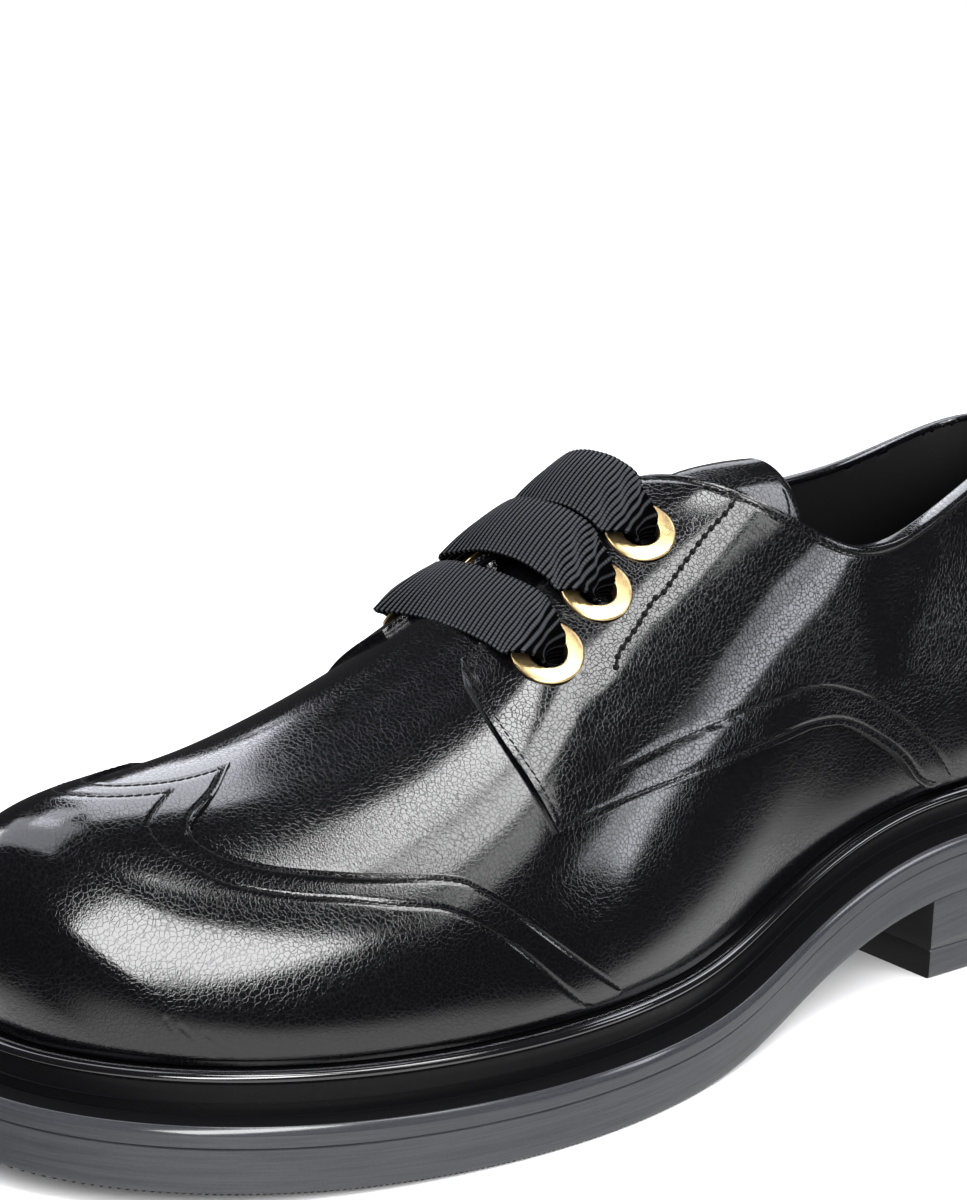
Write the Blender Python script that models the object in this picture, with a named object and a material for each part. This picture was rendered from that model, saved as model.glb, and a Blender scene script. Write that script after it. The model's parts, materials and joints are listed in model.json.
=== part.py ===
"""A lace-up derby shoe for the left foot, with a wing toe, broad ribbon lace and low block heel.

Sizes are in millimetres and MM turns them into metres. +X runs to the toe, +Y to the lateral side
and +Z up. While a piece is worked out, x = 0 is the back of the last at its feather line, and every
mesh is then moved so that the shoe stands over the origin.
"""

from collections import namedtuple

import bmesh
import bpy
import numpy as np
from mathutils import Matrix, Vector

MM = 0.001

# The sole, in millimetres
LENGTH = 251.0
HEEL_LIFT = 17.0
OUTSOLE_THICK = 11.8
RAND_HEIGHT = 7.6
TOE_SPRING = 3.4
SPRING_START = 165.0
WAIST_BACK = 44.5
WAIST_FRONT = 147.0
HEEL_BREAST = 66.0
TOP_LIFT_THICK = 6.0
OUTSOLE_REACH = 8.6
RAND_REACH = 4.0
SCORE_DEPTH = 0.5
SCORE_HEIGHT = 8.1
EDGE_ROUND = 0.7
INSOLE_THICK = 2.5
INSOLE_INSET = 1.9

# The leather, and the clearance between pieces that meet
GAP = 0.3
WALL = 1.4
QUARTER_THICK = 1.1
WING_THICK = 0.8
WING_LIFT = 0.5
TONGUE_THICK = 1.6
FEATHER_TUCK = 0.5
OVERLAY_FOOT = 0.02
WING_END = 0.05
SHARP_ANGLE = 40.0

# Eyelets and lace
EYELET_RADIUS = 6.5
EYELET_HOLE = 3.8
BARREL_RADIUS = 4.3
PUNCH_RADIUS = 4.7
FLANGE_HEIGHT = 1.1
RIBBON_WIDTH = 12.0
RIBBON_NECK = 6.2
RIBBON_THICK = 1.0
RIBBON_SPREAD = (0.20, 0.46)
ARCH_POWER = 2.6
PUNCH_REACH = 4.0
EYELET_SEAT = 2.0 * GAP + QUARTER_THICK

# How finely each form is divided
AROUND = 72
HEEL_STEPS = 14
LEVELS = 9
QUARTER_STEPS = (30, 8)
WING_STEPS = (34, 8)
TONGUE_STEPS = (13, 10)
EYELET_SIDES = 12
RIBBON_STEPS = 17
BRIDGE_POINTS = 9

# The last: a section runs from the feather line up to the collar or to the ridge of the instep.
# lean is in degrees, of the wall outwards at the foot and of the slope at the top. pull is how far
# the section follows that lean.
Section = namedtuple(
    "Section",
    "lateral_x lateral_y medial_x medial_y top_x lateral_top_y lateral_top_z medial_top_y medial_top_z"
    " foot_lean foot_pull top_lean top_pull",
)
LAST = (
    Section(0.0, 0.0, 0.0, 0.0, 8.0, 0.0, 101.5, 0.0, 101.5, 16, 26.0, 96, 20.0),
    Section(13.5, 22.0, 13.5, -22.0, 15.0, 14.0, 101.0, -14.0, 98.5, 15, 26.0, 95, 20.0),
    Section(42.0, 29.0, 41.5, -28.5, 36.0, 22.0, 99.5, -22.0, 90.5, 14, 24.0, 92, 18.0),
    Section(71.0, 28.5, 70.5, -26.5, 61.0, 24.0, 90.0, -23.5, 87.5, 12, 22.0, 88, 16.0),
    Section(99.5, 30.5, 99.5, -24.5, 85.0, 25.5, 88.0, -22.0, 88.0, 11, 22.0, 75, 18.0),
    Section(127.5, 37.5, 128.0, -27.0, 105.0, 16.0, 98.5, -13.5, 97.5, 11, 24.0, 50, 18.0),
    Section(156.0, 43.0, 156.0, -35.5, 123.0, 0.0, 98.5, 0.0, 98.5, 11, 26.0, 18, 22.0),
    Section(185.0, 42.0, 184.5, -40.5, 150.0, -0.5, 84.5, -0.5, 84.5, 12, 24.5, 18, 21.0),
    Section(213.0, 35.0, 214.0, -38.5, 176.0, -2.0, 71.5, -2.0, 71.5, 13, 21.5, 15, 21.5),
    Section(238.0, 20.0, 240.5, -25.5, 200.0, -4.0, 63.5, -4.0, 63.5, 14, 26.5, 10, 28.5),
    Section(251.0, -3.0, 251.0, -3.0, 213.0, -5.0, 61.5, -5.0, 61.5, 15, 39.0, 4, 37.5),
)
TOE = len(LAST) - 1
RING = 2 * TOE
RIDGE_BLEND = (6.0, 6.8)

# Edges on the last as (station, height): stations count the sections from the heel, and the height
# runs from 0 at the feather line to 1 at the top. Both sides of the shoe share them.
QUARTER_SEAM = (
    (0.0, OVERLAY_FOOT), (2.62, OVERLAY_FOOT), (2.77, 0.061), (2.93, 0.153), (3.17, 0.252),
    (3.47, 0.358), (3.74, 0.423), (4.04, 0.448), (4.39, 0.435), (5.39, 0.381), (6.15, 0.355),
    (6.48, 0.352),
)
QUARTER_FRONT = (
    (6.48, 0.352), (6.57, 0.398), (6.70, 0.463), (6.87, 0.545), (7.02, 0.628), (7.13, 0.697),
    (7.20, 0.749), (7.22, 0.791),
)
FACING_EDGE = (
    (0.0, 1.0), (5.77, 1.0), (5.98, 0.942), (6.36, 0.865), (6.785, 0.818), (7.22, 0.791),
)
THROAT_END = 26 * RING / AROUND
THROAT_ROUND = 6.3
THROAT_INSET = 0.02

# The wing's edge as (station at the feather line, station at the edge, height of the edge)
WING_LATERAL = (
    (5.95, 5.95, WING_END), (6.45, 6.45, 0.176), (6.96, 6.96, 0.308), (7.26, 7.26, 0.365),
    (7.89, 7.89, 0.430), (8.49, 8.49, 0.505), (8.78, 8.83, 0.581), (8.98, 8.96, 0.656),
    (9.15, 8.92, 0.754), (9.45, 8.96, 0.866),
)
WING_MEDIAL = (
    (9.45, 8.96, 0.866), (9.60, 9.30, 0.850), (9.78, 9.60, 0.840), (10.05, 10.00, 0.815),
    (10.22, 10.20, 0.805), (10.45, 10.45, 0.812), (10.75, 10.75, 0.805), (11.05, 11.05, 0.735),
    (11.65, 11.65, 0.590), (12.40, 12.40, 0.470), (13.05, 13.05, 0.330), (13.50, 13.50, 0.190),
    (14.05, 14.05, WING_END),
)

# Eyelets as (lateral station, height, medial station, height), toe end first, and each lace bar's rise
EYELETS = (
    (6.57, 0.669, 6.53, 0.656),
    (6.15, 0.725, 6.07, 0.701),
    (5.78, 0.825, 5.69, 0.801),
)
BAR_RISE = (9.0, 8.0, 7.0)

# The tongue's outer face: a row for each section from under the vamp to its free end
TongueRow = namedtuple("TongueRow", "x crown half_width lateral_fall medial_fall")
TONGUE = (
    TongueRow(170.0, 71.6, 15.0, 5.4, 5.4),
    TongueRow(160.0, 76.6, 17.0, 7.0, 7.4),
    TongueRow(148.0, 83.0, 18.0, 8.4, 10.0),
    TongueRow(134.0, 90.6, 19.0, 12.2, 19.0),
    TongueRow(122.0, 95.8, 18.5, 12.8, 22.0),
    TongueRow(110.0, 98.4, 18.0, 11.2, 20.5),
    TongueRow(100.0, 99.8, 16.8, 11.3, 15.0),
    TongueRow(92.0, 100.3, 14.0, 9.8, 10.5),
    TongueRow(88.5, 100.4, 9.0, 4.2, 4.6),
)


def smooth_step(low, high, x):
    """0 below low, 1 above high, with no kink in slope or bend between."""
    t = np.clip((x - low) / (high - low), 0.0, 1.0)
    return t**3 * (t * (6.0 * t - 15.0) + 10.0)


def closed_spline(values):
    """A smooth closed curve through values at stations 0, 1, 2 and so on."""
    values = np.asarray(values, float)
    count = len(values)
    eye = np.eye(count)
    system = 4.0 * eye + np.roll(eye, 1, axis=0) + np.roll(eye, -1, axis=0)
    bend = np.linalg.solve(system, np.roll(values, -1) - 2.0 * values + np.roll(values, 1))

    def at(station):
        whole = np.floor(station)
        t = station - whole
        i = whole.astype(int) % count
        j = (i + 1) % count
        line = (1.0 - t) * values[i] + t * values[j]
        return line + ((1.0 - t) ** 3 - (1.0 - t)) * bend[i] + (t**3 - t) * bend[j]

    return at


def monotone_curve(places, values):
    """A smooth curve through the values that never overshoots them."""
    places = np.asarray(places, float)
    values = np.asarray(values, float)
    step = np.diff(places)
    rate = np.diff(values) / step
    slope = np.concatenate([rate[:1], np.zeros(len(rate) - 1), rate[-1:]])
    for k in range(1, len(rate)):
        if rate[k - 1] * rate[k] > 0.0:
            before = 2.0 * step[k] + step[k - 1]
            after = step[k] + 2.0 * step[k - 1]
            slope[k] = (before + after) / (before / rate[k - 1] + after / rate[k])

    def at(place):
        k = np.clip(np.searchsorted(places, place, side="right") - 1, 0, len(step) - 1)
        t = np.clip((place - places[k]) / step[k], 0.0, 1.0)
        start = values[k] * (1.0 + 2.0 * t) + slope[k] * step[k] * t
        end = values[k + 1] * (3.0 - 2.0 * t) - slope[k + 1] * step[k] * (1.0 - t)
        return start * (1.0 - t) ** 2 + end * t**2

    return at


def both_sides(lateral, medial):
    """A spline round the shoe: heel, lateral sections, toe and medial sections."""
    forward = [getattr(section, lateral) for section in LAST]
    back = [getattr(section, medial) for section in LAST[-2:0:-1]]
    return closed_spline(forward + back)


FOOT_X = both_sides("lateral_x", "medial_x")
FOOT_Y = both_sides("lateral_y", "medial_y")
TOP_X = both_sides("top_x", "top_x")
TOP_Y = both_sides("lateral_top_y", "medial_top_y")
TOP_Z = both_sides("lateral_top_z", "medial_top_z")
FOOT_LEAN = both_sides("foot_lean", "foot_lean")
FOOT_PULL = both_sides("foot_pull", "foot_pull")
TOP_LEAN = both_sides("top_lean", "top_lean")
TOP_PULL = both_sides("top_pull", "top_pull")


def tread_height(x):
    """Underside of the outsole above the floor: heel seat, waist, flat forefoot and toe spring."""
    heel = HEEL_LIFT * (1.0 - smooth_step(WAIST_BACK, WAIST_FRONT, x))
    toe = np.clip((x - SPRING_START) / (LENGTH - SPRING_START), 0.0, None)
    return heel + TOE_SPRING * toe**2


def feather_height(x):
    """Top of the rand, where the upper meets it."""
    return tread_height(x) + OUTSOLE_THICK + RAND_HEIGHT


def ridge_value(curve, station):
    """A top value that both sides share along the ridge."""
    side = np.minimum(station, RING - station)
    blend = 0.5 * smooth_step(*RIDGE_BLEND, side)
    return (1.0 - blend) * curve(station) + blend * curve(RING - station)


def last_point(station, height):
    """The outer face of the upper."""
    station, height = np.broadcast_arrays(np.asarray(station, float), np.asarray(height, float))
    foot = np.stack([FOOT_X(station), FOOT_Y(station)], axis=-1)
    top = np.stack([ridge_value(TOP_X, station), ridge_value(TOP_Y, station)], axis=-1)
    reach = np.linalg.norm(top - foot, axis=-1)
    inward = (top - foot) / reach[..., None]
    foot_z = feather_height(foot[..., 0]) - FEATHER_TUCK
    top_z = ridge_value(TOP_Z, station)
    foot_lean = np.radians(FOOT_LEAN(station))
    top_lean = np.radians(TOP_LEAN(station))
    in_1 = -FOOT_PULL(station) * np.sin(foot_lean)
    up_1 = foot_z + FOOT_PULL(station) * np.cos(foot_lean)
    in_2 = reach - TOP_PULL(station) * np.cos(top_lean)
    up_2 = top_z - TOP_PULL(station) * np.sin(top_lean)
    rest = 1.0 - height
    weights = (rest**3, 3.0 * height * rest**2, 3.0 * height**2 * rest, height**3)
    run = weights[1] * in_1 + weights[2] * in_2 + weights[3] * reach
    rise = weights[0] * foot_z + weights[1] * up_1 + weights[2] * up_2 + weights[3] * top_z
    return np.concatenate([foot + inward * run[..., None], rise[..., None]], axis=-1)


def last_normal(station, height, step=1e-3):
    """Outward direction of the upper's outer face, read just short of the ridge."""
    height = np.minimum(height, 0.99)
    along = last_point(station + step, height) - last_point(station - step, height)
    upward = last_point(station, height + step) - last_point(station, height - step)
    normal = np.cross(upward, along)
    return normal / np.linalg.norm(normal, axis=-1, keepdims=True)


def skin(station, height, lift):
    """A point lifted off the upper's outer face, or sunk into it."""
    station, height = np.broadcast_arrays(np.asarray(station, float), np.asarray(height, float))
    return last_point(station, height) + lift * last_normal(station, height)


def sole_outline(reach, stations):
    """Points round the feather line, moved outwards by reach."""
    step = 1e-3
    point = np.stack([FOOT_X(stations), FOOT_Y(stations)], axis=-1)
    ahead = np.stack([FOOT_X(stations + step), FOOT_Y(stations + step)], axis=-1)
    behind = np.stack([FOOT_X(stations - step), FOOT_Y(stations - step)], axis=-1)
    along = (ahead - behind) / np.linalg.norm(ahead - behind, axis=-1, keepdims=True)
    return point + reach * np.stack([-along[:, 1], along[:, 0]], axis=-1)


def plan_centre():
    """Middle of the outsole's outline seen from above, which stands over the origin."""
    outline = sole_outline(OUTSOLE_REACH, np.arange(0.0, RING, 0.05))
    middle = 0.5 * (outline.min(axis=0) + outline.max(axis=0))
    return np.array([middle[0], middle[1], 0.0])


CENTRE = plan_centre()


def material(name, colour, roughness, metallic=0.0):
    """A plain Principled finish; colour is linear RGB."""
    finish = bpy.data.materials.new(name)
    finish.use_nodes = True
    shader = finish.node_tree.nodes["Principled BSDF"]
    shader.inputs["Base Color"].default_value = (*colour, 1.0)
    shader.inputs["Roughness"].default_value = roughness
    shader.inputs["Metallic"].default_value = metallic
    finish.diffuse_color = (*colour, 1.0)
    return finish


def solid(name, points, faces, finish):
    """A closed, outward-facing object from points in millimetres."""
    mesh = bpy.data.meshes.new(name)
    mesh.from_pydata(((np.asarray(points) - CENTRE) * MM).tolist(), [], faces)
    work = bmesh.new()
    work.from_mesh(mesh)
    bmesh.ops.recalc_face_normals(work, faces=work.faces)
    work.to_mesh(mesh)
    work.free()
    mesh.materials.append(finish)
    mesh.shade_smooth()
    mesh.set_sharp_from_angle(angle=np.radians(SHARP_ANGLE))
    piece = bpy.data.objects.new(name, mesh)
    bpy.context.collection.objects.link(piece)
    return piece


def sheet_solid(name, outer, inner, finish):
    """A closed sheet between two grids of points, with its four edges walled."""
    rows, columns = outer.shape[:2]
    size = rows * columns

    def at(row, column, face):
        return row * columns + column + face * size

    faces = []
    for i in range(rows - 1):
        for j in range(columns - 1):
            square = ((i, j), (i, j + 1), (i + 1, j + 1), (i + 1, j))
            faces.append([at(*corner, 0) for corner in square])
            faces.append([at(*corner, 1) for corner in reversed(square)])
    border = [(0, j) for j in range(columns - 1)]
    border += [(i, columns - 1) for i in range(rows - 1)]
    border += [(rows - 1, j) for j in range(columns - 1, 0, -1)]
    border += [(i, 0) for i in range(rows - 1, 0, -1)]
    for here, there in zip(border, border[1:] + border[:1]):
        faces.append([at(*there, 0), at(*here, 0), at(*here, 1), at(*there, 1)])
    points = np.concatenate([outer.reshape(-1, 3), inner.reshape(-1, 3)])
    return solid(name, points, faces, finish)


def layer_solid(name, rings, finish):
    """A layer of the sole from closed rings: the first is filled below and the last on top.

    A ring starts at the heel, and its middle point is at the toe end, so each point has a partner
    across the sole that the filling joins it to.
    """
    count = len(rings[0])
    half = count // 2
    faces = []
    for level in range(len(rings) - 1):
        low = level * count
        for i in range(count):
            j = (i + 1) % count
            faces.append([low + i, low + j, low + count + j, low + count + i])
    for base in (0, (len(rings) - 1) * count):
        faces.append([base, base + 1, base + count - 1])
        faces.append([base + half - 1, base + half, base + half + 1])
        for i in range(1, half - 1):
            faces.append([base + i, base + i + 1, base + count - i - 1, base + count - i])
    return solid(name, np.concatenate(rings), faces, finish)


def sole_ring(reach, height, rise, stations=None):
    """A ring at a reach from the feather line, rise above the surface that height gives."""
    if stations is None:
        stations = np.arange(AROUND) * RING / AROUND
    outline = sole_outline(reach, stations)
    return np.column_stack([outline, height(outline[:, 0]) + rise])


def build_outsole(finish):
    """A plate of even thickness with a scored line round its side."""
    profile = (
        (OUTSOLE_REACH - EDGE_ROUND, 0.0),
        (OUTSOLE_REACH, EDGE_ROUND),
        (OUTSOLE_REACH, SCORE_HEIGHT - SCORE_DEPTH),
        (OUTSOLE_REACH - SCORE_DEPTH, SCORE_HEIGHT),
        (OUTSOLE_REACH, SCORE_HEIGHT + SCORE_DEPTH),
        (OUTSOLE_REACH, OUTSOLE_THICK - EDGE_ROUND),
        (OUTSOLE_REACH - EDGE_ROUND, OUTSOLE_THICK),
    )
    layer_solid("outsole", [sole_ring(reach, tread_height, rise) for reach, rise in profile], finish)


def breast_ring(reach, height, rise):
    """A ring round the heel, cut off straight at the breast."""
    dense = np.linspace(0.0, 0.5 * TOE, 501)
    lateral = np.interp(HEEL_BREAST, sole_outline(reach, dense)[:, 0], dense)
    medial = np.interp(HEEL_BREAST, sole_outline(reach, RING - dense)[:, 0], dense)
    fractions = np.arange(1, HEEL_STEPS + 1) / HEEL_STEPS
    side = sole_outline(reach, fractions * lateral)
    other = sole_outline(reach, RING - fractions[::-1] * medial)
    back = sole_outline(reach, np.zeros(1))
    middle = 0.5 * (side[-1:] + other[:1])
    outline = np.concatenate([back, side, middle, other])
    return np.column_stack([outline, height(outline[:, 0]) + rise])


def build_heel(block_finish, lift_finish):
    """The stacked block under the heel seat and the top lift it walks on."""
    def floor(x):
        return 0.0 * x

    def seat(x):
        return tread_height(x) - GAP

    foot = TOP_LIFT_THICK + GAP
    block = [breast_ring(OUTSOLE_REACH, floor, foot), breast_ring(OUTSOLE_REACH, seat, 0.0)]
    layer_solid("heel_block", block, block_finish)
    lift = [breast_ring(OUTSOLE_REACH, floor, 0.0), breast_ring(OUTSOLE_REACH, floor, TOP_LIFT_THICK)]
    layer_solid("heel_top_lift", lift, lift_finish)


def build_rand(finish):
    """The band over the outsole, with a rounded bead that hides the foot of the upper."""
    seat = -FEATHER_TUCK - GAP
    profile = (
        (RAND_REACH - 0.1, GAP - RAND_HEIGHT),
        (RAND_REACH - 0.1, -2.6),
        (RAND_REACH, -1.5),
        (RAND_REACH - 0.4, -0.5),
        (RAND_REACH - 1.4, 0.0),
        (0.6, -0.3),
        (0.5, seat),
    )
    layer_solid("rand", [sole_ring(reach, feather_height, rise) for reach, rise in profile], finish)


def build_insole(finish):
    """The board that the foot stands on."""
    low = -FEATHER_TUCK
    rings = [sole_ring(-INSOLE_INSET, feather_height, rise) for rise in (low, low + INSOLE_THICK)]
    layer_solid("insole", rings, finish)


def throat_edge(side):
    """Height of the upper's top edge: the collar, then the slot between the facings."""
    curve = monotone_curve(*zip(*FACING_EDGE))
    facing = curve(side)
    past = np.clip((side - THROAT_ROUND) / (THROAT_END - THROAT_ROUND), 0.0, 1.0)
    open_here = facing < 1.0
    width = np.where(open_here, 1.0 - facing + THROAT_INSET, 0.0)
    return 1.0 - width * np.sqrt(1.0 - past**2)


def build_upper(finish):
    """One hollow wall: closed over the toe and instep, open at throat, collar and foot."""
    stations = np.arange(AROUND) * RING / AROUND
    side = np.minimum(stations, RING - stations)
    heights = throat_edge(side)[:, None] * np.linspace(0.0, 1.0, LEVELS + 1)[None, :]
    outer = skin(stations[:, None], heights, 0.0)
    inner = skin(stations[:, None], heights, -WALL)
    closed = side > THROAT_END - 1e-6
    for i in np.flatnonzero(closed & (stations < TOE)):
        for wall in (outer, inner):
            wall[i, -1] = wall[AROUND - i, -1] = 0.5 * (wall[i, -1] + wall[AROUND - i, -1])
    columns = LEVELS + 1
    size = AROUND * columns

    def at(i, j, wall):
        i = i % AROUND
        if j == LEVELS and closed[i] and i > AROUND // 2:
            i = AROUND - i
        return i * columns + j + wall * size

    faces = []
    for i in range(AROUND):
        for j in range(LEVELS):
            square = ((i, j), (i, j + 1), (i + 1, j + 1), (i + 1, j))
            faces.append([at(*corner, 0) for corner in square])
            faces.append([at(*corner, 1) for corner in reversed(square)])
        faces.append([at(i, 0, 0), at(i + 1, 0, 0), at(i + 1, 0, 1), at(i, 0, 1)])
        if not (closed[i] and closed[(i + 1) % AROUND]):
            rim = [at(i + 1, LEVELS, 0), at(i, LEVELS, 0), at(i, LEVELS, 1), at(i + 1, LEVELS, 1)]
            faces.append(rim)
    points = np.concatenate([outer.reshape(-1, 3), inner.reshape(-1, 3)])
    used = sorted({index for face in faces for index in face})
    renumber = {old: new for new, old in enumerate(used)}
    faces = [[renumber[index] for index in face] for face in faces]
    return solid("upper", points[used], faces, finish)


def quarter_grid():
    """Stations and heights of the quarter, from the heel to its front edge and from seam to top."""
    seam = monotone_curve(*zip(*QUARTER_SEAM))
    top = monotone_curve(*zip(*FACING_EDGE))
    front_stations, front_heights = zip(*QUARTER_FRONT)
    front = monotone_curve(front_heights, front_stations)
    along = np.linspace(0.0, 1.0, QUARTER_STEPS[0] + 1)[:, None]
    upward = np.linspace(0.0, 1.0, QUARTER_STEPS[1] + 1)[None, :]
    low, high = front_heights[0], front_heights[-1]
    stations = along * front(low + (high - low) * upward)
    foot = seam(along * front_stations[0])
    heights = foot + (top(along * front_stations[-1]) - foot) * upward
    return stations, heights


def build_quarters(finish):
    """The two quarters, which meet at the back seam and carry the facings."""
    stations, heights = quarter_grid()
    half_seam = 0.5 * GAP / np.linalg.norm(last_point(0.02, 0.5) - last_point(0.0, 0.5)) * 0.02
    stations = np.maximum(stations, half_seam)
    pieces = []
    for name, turned in (("quarter_lateral", stations), ("quarter_medial", RING - stations)):
        inner = skin(turned, heights, GAP)
        outer = skin(turned, heights, GAP + QUARTER_THICK)
        pieces.append(sheet_solid(name, outer, inner, finish))
    return pieces


def hermite(rows, count):
    """A smooth run of points through the rows of a table."""
    rows = np.asarray(rows, float)
    slopes = np.gradient(rows, axis=0)
    place = np.linspace(0.0, len(rows) - 1.0, count)
    k = np.minimum(place.astype(int), len(rows) - 2)
    t = (place - k)[:, None]
    start = rows[k] * (1.0 + 2.0 * t) + slopes[k] * t
    end = rows[k + 1] * (3.0 - 2.0 * t) - slopes[k + 1] * (1.0 - t)
    return start * (1.0 - t) ** 2 + end * t**2


def build_wing(finish):
    """The toe overlay, from the rand up to its wing edge."""
    half = WING_STEPS[0] // 2 + 1
    edge = np.concatenate([hermite(WING_LATERAL, half), hermite(WING_MEDIAL, half)[1:]])
    upward = np.linspace(0.0, 1.0, WING_STEPS[1] + 1)[None, :]
    stations = edge[:, :1] + (edge[:, 1:2] - edge[:, :1]) * upward
    heights = OVERLAY_FOOT + (edge[:, 2:] - OVERLAY_FOOT) * upward
    inner = skin(stations, heights, WING_LIFT)
    outer = skin(stations, heights, WING_LIFT + WING_THICK)
    sheet_solid("wing_cap", outer, inner, finish)


def build_tongue(finish):
    """A curved sheet under the facings."""
    rows = hermite(TONGUE, TONGUE_STEPS[0])
    across = np.linspace(-1.0, 1.0, TONGUE_STEPS[1] + 1)[None, :]
    fall = np.where(across > 0.0, rows[:, 3:4], rows[:, 4:5]) * across**2
    outer = np.stack(
        [rows[:, :1] + 0.0 * across, rows[:, 2:3] * across, rows[:, 1:2] - fall], axis=-1
    )
    along = np.gradient(outer, axis=0)
    sideways = np.gradient(outer, axis=1)
    normal = np.cross(sideways, along)
    normal /= np.linalg.norm(normal, axis=-1, keepdims=True)
    normal *= np.sign(normal[..., 2:])
    sheet_solid("tongue", outer, outer - TONGUE_THICK * normal, finish)


def eyelet_place(row, medial):
    """Station and height of an eyelet."""
    return (RING - row[2], row[3]) if medial else (row[0], row[1])


def turned(profile, sides, centre, axis):
    """Points and faces of a closed profile turned round an axis in space."""
    up = Vector(axis)
    turn = up.to_track_quat("Z", "Y").to_matrix()
    points = []
    for k in range(sides):
        angle = 2.0 * np.pi * k / sides
        for radius, rise in profile:
            spoke = Vector((radius * np.cos(angle), radius * np.sin(angle), rise))
            points.append(Vector(centre) + turn @ spoke)
    ring = len(profile)
    faces = []
    for k in range(sides):
        here, there = k * ring, (k + 1) % sides * ring
        for i in range(ring):
            j = (i + 1) % ring
            faces.append([here + i, here + j, there + j, there + i])
    return points, faces


def build_eyelets(finish):
    """Three flanged rings on each side, with a barrel through the facing."""
    barrel_foot = -EYELET_SEAT - WALL
    profile = (
        (EYELET_HOLE, barrel_foot),
        (BARREL_RADIUS, barrel_foot),
        (BARREL_RADIUS, 0.0),
        (EYELET_RADIUS, 0.0),
        (EYELET_RADIUS, 0.4 * FLANGE_HEIGHT),
        (EYELET_RADIUS - 0.4, 0.8 * FLANGE_HEIGHT),
        (EYELET_HOLE + 0.8, FLANGE_HEIGHT),
        (EYELET_HOLE, 0.55 * FLANGE_HEIGHT),
    )
    for medial, label in ((False, "lateral"), (True, "medial")):
        for number, row in enumerate(EYELETS, start=1):
            place = eyelet_place(row, medial)
            centre = skin(*place, EYELET_SEAT)
            points, faces = turned(profile, EYELET_SIDES, centre, last_normal(*place))
            solid(f"eyelet_{label}_{number}", [tuple(p) for p in points], faces, finish)


def punch_holes(pieces, finish):
    """Cuts the eyelet holes through the facings and the wall under them."""
    points, faces = [], []
    for medial in (False, True):
        for row in EYELETS:
            place = eyelet_place(row, medial)
            axis = Vector(last_normal(*place))
            turn = axis.to_track_quat("Z", "Y").to_matrix().to_4x4()
            spot = Matrix.Translation(Vector(last_point(*place))) @ turn
            start = len(points)
            for rise in (-PUNCH_REACH, PUNCH_REACH):
                for k in range(EYELET_SIDES):
                    angle = 2.0 * np.pi * k / EYELET_SIDES
                    spoke = Vector((PUNCH_RADIUS * np.cos(angle), PUNCH_RADIUS * np.sin(angle), rise))
                    points.append(tuple(spot @ spoke))
            ring = range(start, start + EYELET_SIDES)
            faces.append(list(ring))
            faces.append([i + EYELET_SIDES for i in ring])
            for k in range(EYELET_SIDES):
                i, j = start + k, start + (k + 1) % EYELET_SIDES
                faces.append([i, j, j + EYELET_SIDES, i + EYELET_SIDES])
    cutter = solid("eyelet_punch", points, faces, finish)
    cutter.hide_render = True
    cutter.display_type = "WIRE"
    for piece in pieces:
        cut = piece.modifiers.new("eyelet holes", "BOOLEAN")
        cut.operation = "DIFFERENCE"
        cut.object = cutter


def lace_path(row, rise):
    """Centre line of a bar: up out of one eyelet, over the throat and down into the other."""
    lip = EYELET_SEAT + 0.8 * FLANGE_HEIGHT
    over = EYELET_SEAT + FLANGE_HEIGHT + 2.0 * GAP + RIBBON_THICK
    ends = []
    for medial in (False, True):
        place = eyelet_place(row, medial)
        ends.append([skin(*place, lift) for lift in (2.0 * GAP, EYELET_SEAT, lip, over)])
    start, finish = ends
    bridge = []
    for f in np.arange(1, BRIDGE_POINTS + 1) / (BRIDGE_POINTS + 1.0):
        point = (1.0 - f) * start[-1] + f * finish[-1]
        point[2] += rise * (1.0 - abs(2.0 * f - 1.0) ** ARCH_POWER)
        bridge.append(point)
    return hermite(np.array(start[:3] + bridge + finish[2::-1]), RIBBON_STEPS)


def build_lace_bar(name, row, rise, finish):
    """A flat ribbon that narrows to pass the eyelets."""
    path = lace_path(row, rise)
    tangent = np.gradient(path, axis=0)
    tangent /= np.linalg.norm(tangent, axis=1, keepdims=True)
    forward = np.cross(last_normal(*eyelet_place(row, False)), tangent[len(path) // 2])
    width = forward[None, :] - (tangent @ forward)[:, None] * tangent
    width /= np.linalg.norm(width, axis=1, keepdims=True)
    face = np.cross(width, tangent)
    run = np.minimum(np.arange(len(path)), np.arange(len(path))[::-1]) / (len(path) - 1.0)
    half = 0.5 * (RIBBON_NECK + (RIBBON_WIDTH - RIBBON_NECK) * smooth_step(*RIBBON_SPREAD, run))
    across = half[:, None, None] * np.array([-1.0, 0.0, 1.0])[None, :, None]
    outer = path[:, None, :] + across * width[:, None, :] + 0.5 * RIBBON_THICK * face[:, None, :]
    inner = outer - RIBBON_THICK * face[:, None, :]
    sheet_solid(name, outer, inner, finish)


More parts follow.
